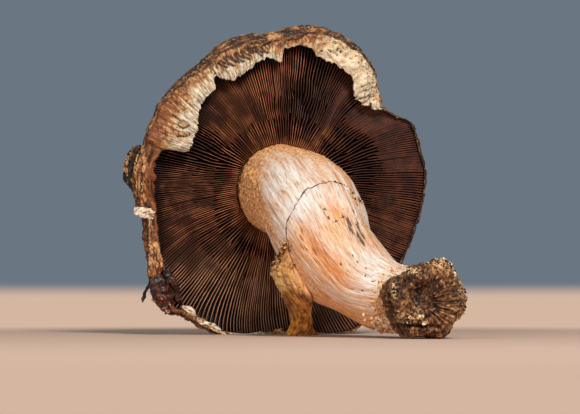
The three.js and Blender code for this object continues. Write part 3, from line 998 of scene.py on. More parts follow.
WET_CLODS = {
    "wet_clod": [
        (0, -46.4, -35.6, 0.6, 2, 1.8), (0.3, -44.2, -39.6, 1.6, 3.6, 2.6),
        (0.7, -41.6, -45, 1.8, 3.8, 2.6), (1, -39, -51.6, 1, 2, 1.6),
    ],
    "wet_fold": [
        (0, -42.4, -32.4, -1, 0.8, 0.8), (0.5, -39.4, -39, -0.4, 2.4, 1.2), (1, -35.4, -48, -0.6, 1.4, 1),
    ],
    "wet_fold_2": [
        (0, -37.4, -38, -1.2, 0.6, 0.6), (0.5, -36.4, -43.6, -0.8, 1.4, 0.8),
        (1, -33.6, -49, -0.8, 0.8, 0.8),
    ],
}
LIGHT_CLODS = {
    "margin_crumb": [
        (0, 0.6, -59, 1.6, 0.5, 0.5), (0.5, 3.4, -58.4, 2.4, 1, 0.9), (1, 6, -58.8, 1.8, 0.6, 0.6),
    ],
}


def margin_scraps():
    """The pieces of torn veil and skin that hang on the margin, each with its finish."""
    pale = torn_finish("pale torn veil", (150, 108, 70), (228, 200, 164), (250, 242, 226), 0.8)
    tan = torn_finish("tan torn veil", (84, 46, 22), (176, 118, 68), (222, 172, 120), 0.75)
    black = torn_finish("scorched skin", (14, 10, 8), (26, 18, 13), (84, 54, 32), 0.7)
    burnt = torn_finish("scorched rind", (20, 13, 9), (96, 58, 30), (214, 164, 104), 0.7)
    wet = torn_finish("wet flesh", (17, 8, 7), (44, 19, 14), (104, 50, 36), 0.38)
    light = torn_finish("light crumb", (150, 94, 54), (226, 170, 110), (250, 226, 190), 0.8)
    kinds = [
        (scrap, PALE_SCRAPS, pale, dict(ragged=0.15, crumple=0.2, thickness=0.4)),
        (scrap, KNOB_SCRAPS, burnt, dict(ragged=0.6, crumple=1.1)),
        (scrap, TAN_SCRAPS, tan, dict(crumple=0.8)),
        (rope, DARK_CLODS, black, dict(place=from_cap)),
        (rope, WET_CLODS, wet, dict(place=from_cap, crumple=0.9)),
        (rope, LIGHT_CLODS, light, dict(place=from_cap, crumple=0.8)),
    ]
    for make, courses, finish, options in kinds:
        for name, course in courses.items():
            keep(make(name, course, **options), finish, "cap_flesh", "cap")


def wet_crumbs():
    """Crumbs strewn along the wet clod."""
    count = 90
    across = random.normal(0, 0.9, count)
    way = random.uniform(0, 1, count)
    places = from_cap(-43 + 3 * way + across, -44 - 6 * way + 0.6 * across, random.uniform(2.6, 4.8, count))
    return strewn("wet_crumbs", places, 0.3, 0.7, 2)


def torn_finish(name, dark, middle, light, roughness):
    """Torn flesh or skin: three tones in patches and streaks, with dark lines along its fibres."""
    look = Finish(name, roughness)
    fibre = look.mark("fibres", "Vector")
    streaks = look.grain(fibre, 0.8, 4)
    patches = look.grain(look.where(), 1.3, 4)
    tone = look.scaled(look.mark("tone"), 0.1, 0.9, 0.1, 0.6)
    tone = look.plus(tone, look.scaled(streaks, 0.3, 0.7, -0.3, 0.3))
    tone = look.plus(tone, look.scaled(patches, 0.3, 0.7, -0.2, 0.3))
    colour = look.ramp(tone, (0.12, dark), (0.4, middle), (0.75, light))
    lines = look.scaled(look.grain(fibre, 0.6, 2), 0.56, 0.64, 0.0, 0.8)
    colour = look.blend(lines, colour, tuple(tint // 3 for tint in dark))
    return look.done(colour, look.plus(streaks, patches), 0.35, 0.9)


# --- The gills ---------------------------------------------------------------------------------------

# How a gill runs, by the direction in which it leaves the stem: how many degrees it has turned by the
# margin, and how fast it turns as it leaves the stem and as it meets the margin.
GILL_FLOW = [
    (8, -7, -12, -4), (20, -7, -6, -7), (29, -2, 5, -10), (36, 2, 25, -6), (46, 6, 36, -7), (57, 4, 6, -1),
    (80, 7, 19, 3), (94, 4, 12, 1), (113, 7, 8, 9), (130, 3, 1, 2), (146, 3, 6, 5), (157, 9, 28, 4),
    (166, 9, 28, 4), (178, 6, 14, 4), (188, 4, 2, 4), (200, 3, -16, 6), (212, 3, -14, 5), (230, 3, 2, 9),
    (244, 9, 12, 17), (257, 7, 10, 13), (272, 6, 8, 8), (300, 4, 5, 6), (320, 2, 3, 6), (338, 0, 0, 4),
    (352, -5, -10, -2),
]
LONG_GILLS = 152
GILL_STEP = 360 / LONG_GILLS
# Rows of gills: name, where the first and the last stand and how far apart, counted in long ones, how far
# from the stem's middle they start, how long their ends take to rise, and spans along them.
GILL_ROWS = [
    ("long_gills", 0, LONG_GILLS, 1, 15.0, 0.03, 20),
    ("middle_gills", 0.5, LONG_GILLS, 2, 23.5, 0.12, 16),
    ("short_gills", 1.5, LONG_GILLS, 2, 31.5, 0.15, 12),
    ("edge_gills", 6.75, 18, 0.5, 36.0, 0.2, 12),
]
# Where the way along a gill begins, and about where it ends, counted from the stem's middle.
GILL_START = 17.0
GILL_LENGTH = 55.0
# Ovals on the gill face where the gills are torn and tangled, where they part, and where painted shade
# darkens them.
DISTURBED = (12, 31, 11, 10)
PARTING = (-22, 19, 4, 5)
SHADED_CORNER = (-30, -32, 12, 12)


def blade(spans):
    """A thin upright strip along +X, one unit long and high: the pattern for a row of gills."""
    deselect()
    bpy.ops.mesh.primitive_cube_add(size=1, location=(0.5, 0, 0.5))
    strip = bpy.context.object
    bpy.ops.object.transform_apply(location=True)
    bpy.ops.object.mode_set(mode="EDIT")
    bpy.ops.mesh.select_mode(type="EDGE")
    bpy.ops.mesh.select_all(action="DESELECT")
    bpy.ops.object.mode_set(mode="OBJECT")
    corners = strip.data.vertices
    for edge in strip.data.edges:
        first, last = edge.vertices
        edge.select = abs(corners[first].co.x - corners[last].co.x) > 0.5
    bpy.ops.object.mode_set(mode="EDIT")
    bpy.ops.mesh.subdivide(number_cuts=spans - 1)
    bpy.ops.object.mode_set(mode="OBJECT")
    return strip


def gill_line(turn, way):
    """Where a gill is on the face at each share of its way from the stem to the margin.

    The long gills stand apart for a middle one to come in, and close up again once a short one has."""
    apart = step(0.18, 0.29, way) * step(0.53, 0.41, way) * (turn == np.round(turn))
    leaving = GILL_STEP * (turn - apart * np.where(turn % 2 < 1, 1, -1) / 6)
    turned, first, last = np.moveaxis(smooth_table(GILL_FLOW, leaving % 360, period=360, firm=False), -1, 0)
    drift = way**2 * (3 - 2 * way) * turned + way * (1 - way) ** 2 * first - way**2 * (1 - way) * last
    at = np.radians(leaving + drift)
    ends = np.radians(leaving + turned)
    length = GILL_LENGTH + 0 * ends
    for _ in range(12):
        x, y = STEM_ROOT[0] + length * np.cos(ends), STEM_ROOT[1] + length * np.sin(ends)
        length = length + gills_reach(np.arctan2(y, x)) - np.hypot(x, y)
    reach = mixed(GILL_START, length, way)
    return STEM_ROOT[0] + reach * np.cos(at), STEM_ROOT[1] + reach * np.sin(at), reach


def gill_bend(way, flat, own, top):
    """How far each point of the gills stands beside its line, where they wander, lean and part."""
    x, y = flat[..., 0], flat[..., 1]
    wander = 0.6 * rough(flat, 16) + 0.06 * rough(flat, 5) + 0.05 * rough(own, 6)
    lean = (0.22 + 1.6 * ovals(flat, [DISTURBED])) * rough(flat, 9, 1, 5.0) + 0.08 * rough(own, 8, 1, 3.0)
    lean += 0.06 * random.uniform(-1, 1, (len(flat), 1))
    side = np.tanh((1.25 * (x - PARTING[0]) + y - PARTING[1]) / 1.4)
    lean += 0.5 * side * ovals(flat, [PARTING])
    return step(0.02, 0.3, way) * (wander + lean * top)


def gill_marks(x, y, way, out, from_root, broad, disturbed):
    """Where the gills are rusty, where painted shade falls on them or they are matted dark, and where painted
    light lifts them low on the face.
    """
    rust = 1.2 * broad + 0.6 * step(8, 26, x) * step(0.3, 0.5, way)
    rust += 0.3 * step(0.8, 1, out) + 0.5 * step(-38, -46, x) * step(0.9, 1, out)
    bearing = np.arctan2(y, x)
    # Painted shadow on the gills just inside the rolled margin's free edge, where the flaps overhang them.
    shadow_under_flap = step(4, 0, margin(bearing, LIP) - np.hypot(x, y))
    shadow_under_flap *= between(np.degrees(bearing) % 360, 28, 215)
    # Painted shade on the right-hand gills, near the upper margin, at the lower left, under the flaps and in
    # the shaded corner; deeper in the matted patch.
    dim = 0.22 + 0.75 * disturbed + 0.45 * step(10, 34, x) * step(-25, 10, y)
    dim += 0.35 * step(0.86, 0.98, out) * step(0, 20, y) + 0.3 * step(-8, -30, x) * step(-30, -5, y)
    # Painted light lifts the gills at the bottom, and they are lighter near the root too.
    dim -= 0.3 * step(-26, -42, y) + 0.4 * np.exp(-from_root / 1.2)
    dim += 0.8 * shadow_under_flap + 0.4 * ovals(vectors(x, y), [SHADED_CORNER])
    return clipped(rust=rust, dim=dim, ashy=step(-22, -46, y))


def gills(name, first, last, every, start, rise, spans):
    """One row of gills, each bent its own way along the common flow."""
    strip = blade(spans)
    share, side, top = np.array([corner.co[:] for corner in strip.data.vertices]).T
    turn = np.arange(first, last, every, dtype=float)[:, None]
    count = len(turn)
    start = start + random.uniform(-1, 1, (count, 1)) * (start > STEM_ROOT_RADIUS)
    way = mixed((start - STEM_ROOT_RADIUS) / (GILL_LENGTH - STEM_ROOT_RADIUS), 1.0, share[None, :])
    x, y, reach = gill_line(turn + 0 * way, way)
    ahead_x, ahead_y, _ = gill_line(turn + 0 * way, way + 0.004)
    run = unit(vectors(ahead_x - x, ahead_y - y))

    flat = vectors(x, y, 0)
    own = vectors(reach, 40.0 * turn, 0)
    disturbed = ovals(flat, [DISTURBED])
    broad = step(12, 34, x) * step(0.45, 0.75, way)
    thick = mixed(0.31, 0.2, top) * mixed(0.8, 1, step(0, 0.1, share)) * (1 + 1.5 * broad)
    shift = gill_bend(way, flat, own, top) + side * thick
    x, y = x - run[..., 1] * shift, y + run[..., 0] * shift

    out = np.hypot(x, y) / gills_reach(np.arctan2(y, x))
    from_root = reach - STEM_ROOT_RADIUS - 0.3
    edge, ceiling = gill_levels(np.clip(out, 0.25, 1))
    grown = step(0, rise, share) * mixed(0.9, 1.0, random.uniform(0, 1, (count, 1)))
    nick = 0.16 * rough(own, 2.6, 1, 9.0) - 2.2 * disturbed * step(-0.2, 0.5, rough(flat, 5, 2, 8.0))
    free_edge = ceiling + (edge - ceiling) * grown + nick - 0.25 * np.exp(-from_root / 1.5)
    points = over_table(from_cap(x, y, mixed(ceiling - 0.5, free_edge, top)))
    marks = gill_marks(x, y, way, out, from_root, broad, disturbed)
    marks["tone"] = random.uniform(0, 1, (count, 1)) + 0 * share
    marks["top"] = top + 0 * way
    piece = join(name, copies_of(strip, points, **marks))
    face_outwards(piece)
    bpy.ops.object.shade_smooth_by_angle(angle=math.radians(40))
    return piece


def gill_finish():
    """Painted light and shade: nearly black deep between the gills, orange-brown at their lit free edges, and
    rusty near the margin.
    """
    look = Finish("gills", 0.6)
    spot = look.where()
    mottle = look.grain(spot, 5, 4)
    # Painted light and shade: each gill's colour runs from near black at its root to light at its free edge.
    lit = look.maths("POWER", look.mark("top"), 8.0)
    # Each gill's own tone, a mottle, and the mark of painted shade and matting scale that colour.
    for value, low, high, least, most in (
        (look.mark("tone"), 0.0, 1.0, 0.7, 1.0),
        (mottle, 0.35, 0.65, 0.5, 1.0),
        (look.mark("dim"), 0.0, 1.0, 1.4, 0.25),
    ):
        lit = look.times(lit, look.scaled(value, low, high, least, most))
    colour = look.ramp(lit, (0.0, (30, 13, 7)), (0.5, (94, 49, 27)), (1.0, (196, 120, 76)))
    # Painted light: gills low on the face, which lean away from the lamps, are made paler and greyer.
    grey = look.ramp(lit, (0.0, (52, 31, 22)), (0.4, (146, 98, 74)), (1.0, (216, 164, 126)))
    rusty = look.ramp(mottle, (0.35, (50, 21, 10)), (0.65, (94, 43, 22)))
    colour = look.laid(colour, (look.mark("ashy"), grey), (look.part("rust", 0.85), rusty))
    return look.done(colour, look.grain(spot, 0.5, 3), 0.12, 0.5)


# --- The stem ----------------------------------------------------------------------------------------

STEM_COLUMNS = 250
STEM_ROWS = 330
# Cracks that run over the stem: share of the way along it, and degrees round it from the right.
CRACK = [
    (0.52, 154), (0.475, 140), (0.445, 121), (0.404, 104), (0.391, 86), (0.388, 70), (0.396, 56),
    (0.411, 44), (0.402, 24), (0.43, 2),
]
CRACK_BRANCH = [(0.391, 62), (0.42, 55), (0.445, 48), (0.43, 38), (0.425, 28)]


def stem_line(share):
    """Middle and radius of the stem at each share of its length."""
    root = [(*from_cap(*STEM_ROOT, height), STEM_ROOT_RADIUS) for height in (-8.3, -4.0)]
    stations = np.array(root + STEM_COURSE)
    chords = np.cumsum([0, *np.linalg.norm(np.diff(stations[:, :3], axis=0), axis=1)])
    fine = smooth_table(np.column_stack([chords, stations]), np.linspace(0, chords[-1], 800), firm=False)
    length = np.cumsum([0, *np.linalg.norm(np.diff(fine[:, :3], axis=0), axis=1)])
    return np.stack([np.interp(np.asarray(share) * length[-1], length, column) for column in fine.T], axis=-1)


def stem_frames(share):
    """Middle, radius, and the directions to the right and up at each share of the stem's length."""
    here = stem_line(share)
    ahead, behind = [stem_line(np.clip(share + way, 0, 1))[:, :3] for way in (0.004, -0.004)]
    along = unit(ahead - behind)
    right = unit(np.array([1.0, 0, 0]) - along * along[:, :1])
    return here[:, :3], here[:, 3], right, np.cross(along, right)


def along_threads(share, degrees):
    """Which thread runs through a place on the stem, by its degrees round the stem's middle."""
    return degrees + 28 * (share - 0.5) - 230 * np.maximum(share - 0.5, 0) ** 1.6


def patch(share, turn, at, round_to, half_along, half_round):
    """1 in the middle of an oval patch on the stem, fading to 0."""
    away = (turn - round_to + 180) % 360 - 180
    return np.exp(-((share - at) / half_along) ** 2 - (away / half_round) ** 2)


# How far the granular brown skin of the root comes down the stem, by degrees round it.
ROOT_BROWN = [
    (0, 0.28), (30, 0.3), (55, 0.27), (75, 0.27), (90, 0.22), (110, 0.16), (130, 0.16), (145, 0.22),
    (155, 0.38), (164, 0.42), (176, 0.34), (200, 0.28), (250, 0.28), (310, 0.26),
]
# Patches on the stem: place along it and round it, half length, half width in degrees, and strength.
STEM_WHITE = [
    (0.45, 116, 0.07, 28, 1.3), (0.3, 116, 0.07, 24, 0.8), (0.5, 103, 0.05, 7, 0.9),
    (0.85, 125, 0.06, 26, 0.9), (0.78, 96, 0.05, 20, 0.7), (0.5, 28, 0.07, 14, 0.8),
    (0.62, 152, 0.04, 6, 0.5),
]
STEM_ORANGE = [
    (0.54, 130, 0.05, 14, 1), (0.61, 132, 0.08, 18, 1.2), (0.69, 134, 0.08, 20, 1.2),
    (0.57, 142, 0.06, 12, 0.9), (0.54, 80, 0.07, 15, 1), (0.6, 98, 0.08, 18, 0.8), (0.68, 185, 0.08, 18, 1),
    (0.76, 195, 0.08, 22, 1), (0.82, 218, 0.08, 24, 0.9), (0.67, 62, 0.1, 14, 0.7),
    (0.62, 158, 0.12, 12, 0.5), (0.74, 150, 0.06, 14, 0.5),
]
STEM_OCHRE = [
    (0.57, 168, 0.07, 18, 1), (0.64, 180, 0.08, 20, 1), (0.55, 195, 0.08, 20, 1), (0.27, 42, 0.08, 17, 1.1),
    (0.34, 27, 0.06, 10, 1), (0.6, 40, 0.14, 9, 0.9), (0.74, 205, 0.09, 22, 0.9), (0.84, 224, 0.08, 26, 1),
    (0.78, 205, 0.07, 15, 1.2), (0.92, 205, 0.04, 40, 1), (0.2, 66, 0.07, 22, 1), (0.42, 168, 0.03, 8, 0.7),
]
# Bruises and cuts that run along the threads: the same without the strength.
STEM_BRUISES = [
    (0.58, 72, 0.026, 3), (0.615, 76, 0.028, 2.8), (0.655, 73, 0.026, 3.2), (0.69, 77, 0.026, 3),
    (0.6, 63, 0.028, 2.6), (0.65, 66, 0.028, 2.6), (0.58, 57, 0.014, 1.6), (0.516, 55, 0.012, 2),
    (0.461, 43, 0.008, 1.6), (0.471, 31, 0.01, 1.8), (0.5, 29, 0.01, 1.6), (0.712, 123, 0.006, 1.6),
    (0.719, 103, 0.006, 1.5), (0.82, 92, 0.007, 1.6), (0.852, 140, 0.008, 1.6), (0.794, 112, 0.01, 1.3),
    (0.827, 154, 0.006, 1.5), (0.747, 107, 0.006, 1.4), (0.55, 76, 0.006, 3), (0.56, 86, 0.005, 3),
    (0.54, 93, 0.008, 1.6), (0.5, 92, 0.01, 1.4),
]
STEM_CUTS = [
    (0.545, 132, 0.02, 1.3), (0.565, 138, 0.026, 1.3), (0.53, 127, 0.014, 1.1), (0.6, 129, 0.02, 1.2),
    (0.585, 135, 0.022, 1.2), (0.615, 132, 0.02, 1.0), (0.64, 139, 0.02, 1.1), (0.52, 134, 0.012, 1.2),
]
# How far the stem swells, or sinks with a minus, and the oval in which it does.
STEM_SWELLINGS = [
    (1.3, 0.1, 230, 0.1, 34), (-0.8, 0.06, 177, 0.25, 33), (-5.1, 0.355, 226, 0.115, 41),
    (-1.8, 0.19, 240, 0.11, 33), (-3.1, 0.725, 232, 0.09, 44), (1.4, 0.29, 42, 0.09, 26),
    (-0.8, 0.52, 22, 0.07, 22),
]
LOOSE_THREADS = (0.36, 155, 0.09, 16)
DOTTED = (0.8, 115, 0.14, 60)
# Lines on the stem along which crumbs lie: places along it and round it, how many, and how far they stray.
CRUMB_LINES = [
    (CRACK[4:8], 60, 0.5), (CRACK_BRANCH, 60, 1.2), ([(0.5, 150), (0.53, 156), (0.57, 163)], 30, 1.2),
]


def stem_surface():
    """The stem's plain surface in rows from root to foot, with what its relief and its marks share."""
    share = np.linspace(0, 1, STEM_ROWS + 1)
    turn = np.linspace(0, 2 * math.pi, STEM_COLUMNS, endpoint=False)[None, :]
    middle, radius, right, up = stem_frames(share)
    on = SimpleNamespace(share=share[:, None] + 0 * turn)
    on.outwards = np.cos(turn)[..., None] * right[:, None] + np.sin(turn)[..., None] * up[:, None]
    on.spots = middle[:, None] + on.outwards * radius[:, None, None]
    on.degrees = np.degrees(turn) + 0 * on.share
    on.thread = along_threads(on.share, on.degrees)
    twist = np.radians(on.thread)
    on.fibres = vectors(16 * np.cos(twist), 16 * np.sin(twist), 9 * on.share)
    on.streaks = rough(on.fibres, 1.6, 2)
    on.curly = rough(on.fibres * [1, 1, 6], 2.6, 3)
    return on


def laid_flat(share, degrees):
    """A place on the stem as a place on its skin laid flat, along it and round it."""
    return vectors(100 * share, 17 * np.radians(degrees))


def stem_crack(on):
    """The crack with its branch, the pale lip above it, and 1 on the skin below it."""
    jitter = [rough(on.fibres * [1, 1, 8], 1.6, 3, shift) for shift in (0.0, 4.0)]
    at = laid_flat(on.share, on.degrees) + 0.5 * vectors(*jitter)
    to_crack, to_branch = [distance_to_line(at, laid_flat(*np.array(way).T)) for way in (CRACK, CRACK_BRANCH)]
    wide = 0.42 + 0.22 * rough(on.fibres * [1, 1, 4], 4, 2)
    crack = step(wide, 0.2 * wide, to_crack) * mixed(0.35, 1, step(4, 24, on.degrees))
    lip = peak(to_crack - 0.8, 0.5) * step(100, 130, on.degrees + 40 * on.streaks)
    places, directions = np.array(CRACK[::-1]).T
    below = step(-0.01, 0.01, on.share - np.interp(on.degrees, directions, places))
    return strongest(crack, 0.4 * step(0.4, 0.1, to_branch)), lip, below


def patches(share, turn, places):
    """The strongest of several patches at each point of the stem."""
    found = np.zeros_like(share)
    for *place, strength in places:
        found = np.maximum(found, strength * patch(share, turn, *place))
    return found


def thread_patches(on, places):
    """Patches that are drawn out along the stem's threads."""
    drawn = [(at, along_threads(at, degrees), *size, 1) for at, degrees, *size in places]
    return patches(on.share, on.thread, drawn)


def stem_marks(on, crack, lip):
    """Where the stem is brown, white, orange, ochre, bruised, cut, cracked and crumbly."""
    share, degrees = on.share, on.degrees
    past_root = share - smooth_table(ROOT_BROWN, degrees, period=360) + 0.09 * on.streaks + 0.03 * on.curly
    under_crack = peak(share - 0.42, 0.03) * between(degrees, 20, 60, 6) * step(-0.1, 0.4, on.curly)
    fringe = step(0.86, 0.93, share + 0.03 * on.curly + 0.02 * np.cos(np.radians(degrees - 200)))
    dots = step(0.5, 0.7, rough(on.fibres * [1, 1, 11], 0.9, 1, 8.0)) * patch(share, degrees, *DOTTED)
    return clipped(
        brown=step(0.1, -0.1, past_root),
        white=strongest(patches(share, degrees, STEM_WHITE), lip),
        orange=patches(share, degrees, STEM_ORANGE),
        ochre=strongest(patches(share, degrees, STEM_OCHRE), under_crack),
        bruise=strongest(thread_patches(on, STEM_BRUISES), 0.8 * dots),
        cut=thread_patches(on, STEM_CUTS),
        crack=crack,
        fringe=fringe * mixed(0.2, 1, between(degrees, 192, 290, 14)),
    )


def stem_relief(on, marks, below):
    """How far each point of the stem stands proud of its plain surface."""
    swell = sum(proud * patch(on.share, on.degrees, *place) for proud, *place in STEM_SWELLINGS)
    threads = 0.2 * rough(on.fibres, 1.1, 3) + 0.3 * rough(on.fibres, 4.5, 2)
    threads += 0.5 * rough(on.fibres * [1, 1, 2], 12)
    threads += 0.5 * patch(on.share, on.degrees, *LOOSE_THREADS) * rough(on.fibres, 2.6, 2, 3.0)
    proud = swell + threads + 0.3 * below
    proud += 0.42 * marks["brown"] * rough(on.spots, 1.5, 3) + 0.9 * marks["fringe"] * rough(on.spots, 1.7, 3)
    proud -= 0.4 * marks["crack"] + 0.25 * marks["bruise"] + 0.2 * marks["cut"]
    return proud * step(0, 0.03, on.share)


def stem():
    on = stem_surface()
    crack, lip, below = stem_crack(on)
    marks = stem_marks(on, crack, lip)
    points = on.spots + on.outwards * stem_relief(on, marks, below)[..., None]
    points[0] = points[0].mean(0)
    points[-1] = points[-1].mean(0)
    return wrapped("stem_flesh", points, fibres=on.fibres * MM, **marks)


def crack_crumbs():
    """Brown crumbs along the crack's right-hand end and its branch, and where the veil leaves the stem."""
    places = []
    for line, count, spread in CRUMB_LINES:
        line = np.array(line, float)
        at = random.uniform(0, len(line) - 1, count)
        share, degrees = [np.interp(at, np.arange(len(line)), column) for column in line.T]
        share = share + 0.006 * spread * random.normal(size=count)
        places.append(on_stem(share, degrees + 1.4 * spread * random.normal(size=count), 0.35))
    return strewn("crack_crumbs", np.concatenate(places), 0.18, 0.4, 3)


def stem_finish():
    """White and tan threads that run down the stem, granular brown at the root, with orange bruises."""
    look = Finish("stem", 0.6, Subsurface_Weight=0.06)
    look.shader.inputs["Subsurface Radius"].default_value = (0.004, 0.002, 0.001)
    fibre = look.mark("fibres", "Vector")
    streaks = look.grain(fibre, 1.0, 5, Roughness=0.6)
    broad = look.grain(fibre, 4, 3)
    hairs = look.grain(fibre, 0.3, 3)
    granules = look.grain(look.where(), 0.9, 4)
    colour = look.ramp(
        look.plus(look.times(streaks, 0.6), look.times(broad, 0.4)),
        (0.36, (196, 132, 86)), (0.45, (222, 176, 138)), (0.53, (233, 207, 183)), (0.62, (242, 232, 220)),
    )
    orange = look.ramp(broad, (0.4, (224, 134, 56)), (0.6, (240, 168, 86)))
    # The ochre is made light to lift the shade on the stem's lower side and by the ring, where its patches
    # lie: partly the stem's own ochre, partly painted light.
    ochre = look.ramp(granules, (0.4, (198, 124, 62)), (0.6, (242, 180, 108)))
    root = look.ramp(granules, (0.36, (176, 104, 54)), (0.5, (228, 158, 98)), (0.62, (250, 204, 148)))
    crumbly = look.ramp(granules, (0.38, (160, 98, 42)), (0.5, (226, 174, 108)), (0.62, (248, 236, 212)))
    split = look.scaled(hairs, 0.35, 0.65, -0.25, 0.25)
    cut, bruise = [look.scaled(look.plus(look.mark(name), split), 0.4, 0.56) for name in ("cut", "bruise")]
    colour = look.laid(
        colour,
        (look.part("white", look.scaled(streaks, 0.3, 0.55, 0.35, 1.0)), (238, 231, 222)),
        (look.part("orange", look.scaled(streaks, 0.36, 0.6, 0.45, 1.0)), orange),
        (look.part("ochre", look.scaled(streaks, 0.36, 0.6, 0.5, 1.0)), ochre),
        (look.scaled(hairs, 0.55, 0.66, 0.0, 0.6), (136, 92, 62)),
        (look.scaled(hairs, 0.45, 0.34, 0.0, 0.5), (247, 242, 235)),
        (look.mark("brown"), root),
        (look.mark("fringe"), crumbly),
        (look.times(cut, 0.8), (168, 76, 46)),
        (look.times(bruise, 0.9), (84, 66, 50)),
        (look.scaled(look.mark("crack"), 0.2, 0.7), (104, 62, 34)),
    )
    height = look.plus(look.times(hairs, 0.5), look.plus(streaks, granules))
    return look.done(colour, height, 0.35, 0.8)


# --- The ring of torn veil ---------------------------------------------------------------------------

# The skirt's two edges from its top to the table. The free one has x, y and z. The other one lies on the
# stem at first, with share and degrees round it, and then it is free as well.
RING_FREE_EDGE = [
    (0, -0.2, -21.5, 33.6), (0.12, -2.6, -19.6, 28.5), (0.22, -4.9, -18.4, 23.8), (0.34, -3.8, -18, 20),
    (0.46, -1.9, -17.4, 16.3), (0.58, -0.3, -15.6, 12.6), (0.7, 1.3, -13, 8.8), (0.8, 1.9, -10.4, 6),
    (0.93, 0.9, -6.4, 2.4), (1, -0.4, -4.6, 0.7),
]
RING_ON_STEM = [
    (0, 0.515, 150), (0.12, 0.54, 158), (0.22, 0.575, 165), (0.34, 0.605, 174), (0.46, 0.645, 186),
    (0.6, 0.66, 200),
]
RING_SECOND_EDGE = [
    (0.46, 8.8, -24, 15.6), (0.6, 9, -19, 12.4), (0.72, 8.6, -14.4, 9), (0.82, 8.9, -10.8, 6),
    (0.93, 9.8, -7, 2.6), (1, 11.6, -5.4, 0.7),
]
# The torn edge's share, place, half width and half depth.
RING_TORN_EDGE = [
    (0, 0.2, -24, 34.6, 0.4, 0.4), (0.3, -1.1, -23.2, 31.4, 0.7, 0.7), (0.65, -3.2, -22, 27.4, 1, 0.8),
    (1, -5.2, -20.8, 23.8, 1.2, 0.9),
]


def on_stem(share, degrees, proud):
    """A point this far outside the stem's plain surface."""
    middle, radius, right, up = stem_frames(np.asarray(share, float))
    turn = np.radians(degrees)[:, None]
    return middle + (radius + proud)[:, None] * (np.cos(turn) * right + np.sin(turn) * up)


def ring():
    """A fibrous skirt that hangs from the stem to the table, ragged on its free side."""
    columns, rows = 60, 200
    way = np.linspace(0, 1, rows + 1)
    free = smooth_table(RING_FREE_EDGE, way, firm=False)
    attached = on_stem(*smooth_table(RING_ON_STEM, way, firm=False).T, 0.25)
    loose = smooth_table(RING_SECOND_EDGE, way, firm=False)
    second = mixed(attached, loose, step(RING_SECOND_EDGE[0][0], RING_ON_STEM[-1][0], way)[:, None])
    width = np.linalg.norm(second - free, axis=1)[:, None]
    teeth = rough(vectors(0, 40 * way, 3), 1.0, 3)[:, None]
    way = way[:, None]
    across = np.linspace(0, 1, columns + 1)[None, :]

    points = mixed(free[:, None], second[:, None], across[..., None])
    points[..., 0] -= 0.8 * teeth * step(0.25, 0, across) * step(0.75, 0.45, way)
    points[..., 1] -= 0.16 * width * np.sin(math.pi * across**0.8)
    fibres = vectors(across * width, 0.14 * points[..., 2], 0)
    upper = step(0.52, 0.4, way) * step(0.1, 0.2, way)
    ruffles = rough(vectors(0.25 * across * width, points[..., 2] + 0.4 * points[..., 0], 0), 0.75, 3)
    pleats = 0.3 * rough(fibres, 1.0, 3) + 0.4 * rough(fibres, 3, 2)
    pleats += upper * (0.35 * ruffles + 0.2 * rough(points, 2, 2))
    points[..., 1] -= pleats * step(1, 0.9, across)

    # The upper half ends in a hem that hangs over the lower one, with painted shade just below it.
    past_hem = way - 0.37 - 0.14 * across + 0.03 * rough(points, 2, 2)
    hem = step(0.25, 0.5, across) * step(1.02, 0.9, across)
    points[..., 1] -= hem * step(0.012, -0.012, past_hem) * step(0.2, 0.36, way)
    hem_shade = 1.3 * hem * peak(past_hem - 0.022, 0.022)
    marks = ring_marks(points, way, across, upper, ruffles)
    marks["shaded"] = strongest(marks["shaded"], hem_shade)
    return walled("ring_veil", points, 0.7, -1.0, fibres=fibres * MM, **marks)


def ring_marks(points, way, across, upper, ruffles):
    """Where the skirt is pale at its torn rim, takes painted highlights on its raised ruffles, joins the
    stem, and takes painted shade.
    """
    uneven = rough(points, 2, 2)
    low_side = step(0.42, 0.5, way) * step(0.8, 0.66, way) * step(0.45, 0.1, across + 0.2 * uneven)
    torn = step(0.12, 0.02, across + 0.06 * rough(points, 1.2, 2))
    return dict(
        rim=torn * step(0.62, 0.4, way) * step(0.1, 0.25, way),
        # Painted highlights on the raised ruffles of the upper half.
        high=np.clip(upper * step(0.8, 0.3, across + 0.2 * ruffles) * (0.5 + ruffles), 0, 1),
        joins=step(0.35, 0.95, across + 0.15 * uneven) * step(0.62, 0.45, way),
        shaded=strongest(low_side, 0.8 * upper * step(-0.05, -0.5, ruffles)),
    )


def ring_torn_edge():
    """The thick crumbly edge along which the skirt tore from the cap."""
    return rope("ring_torn_edge", RING_TORN_EDGE, crumple=0.7, size=1.2, columns=36, rows=80)


def ring_crumbs():
    """Crumbs along the torn edge."""
    count = 110
    way = random.uniform(0, 1, count)
    places = smooth_table([(0, 0.4, -24, 34), (0.5, -2, -23, 29), (1, -4, -21.8, 24)], way)
    places = places + random.normal(0, 0.5, (count, 3)) * [1, 0.4, 1]
    return strewn("ring_crumbs", places, 0.22, 0.4, 2, 0.2)


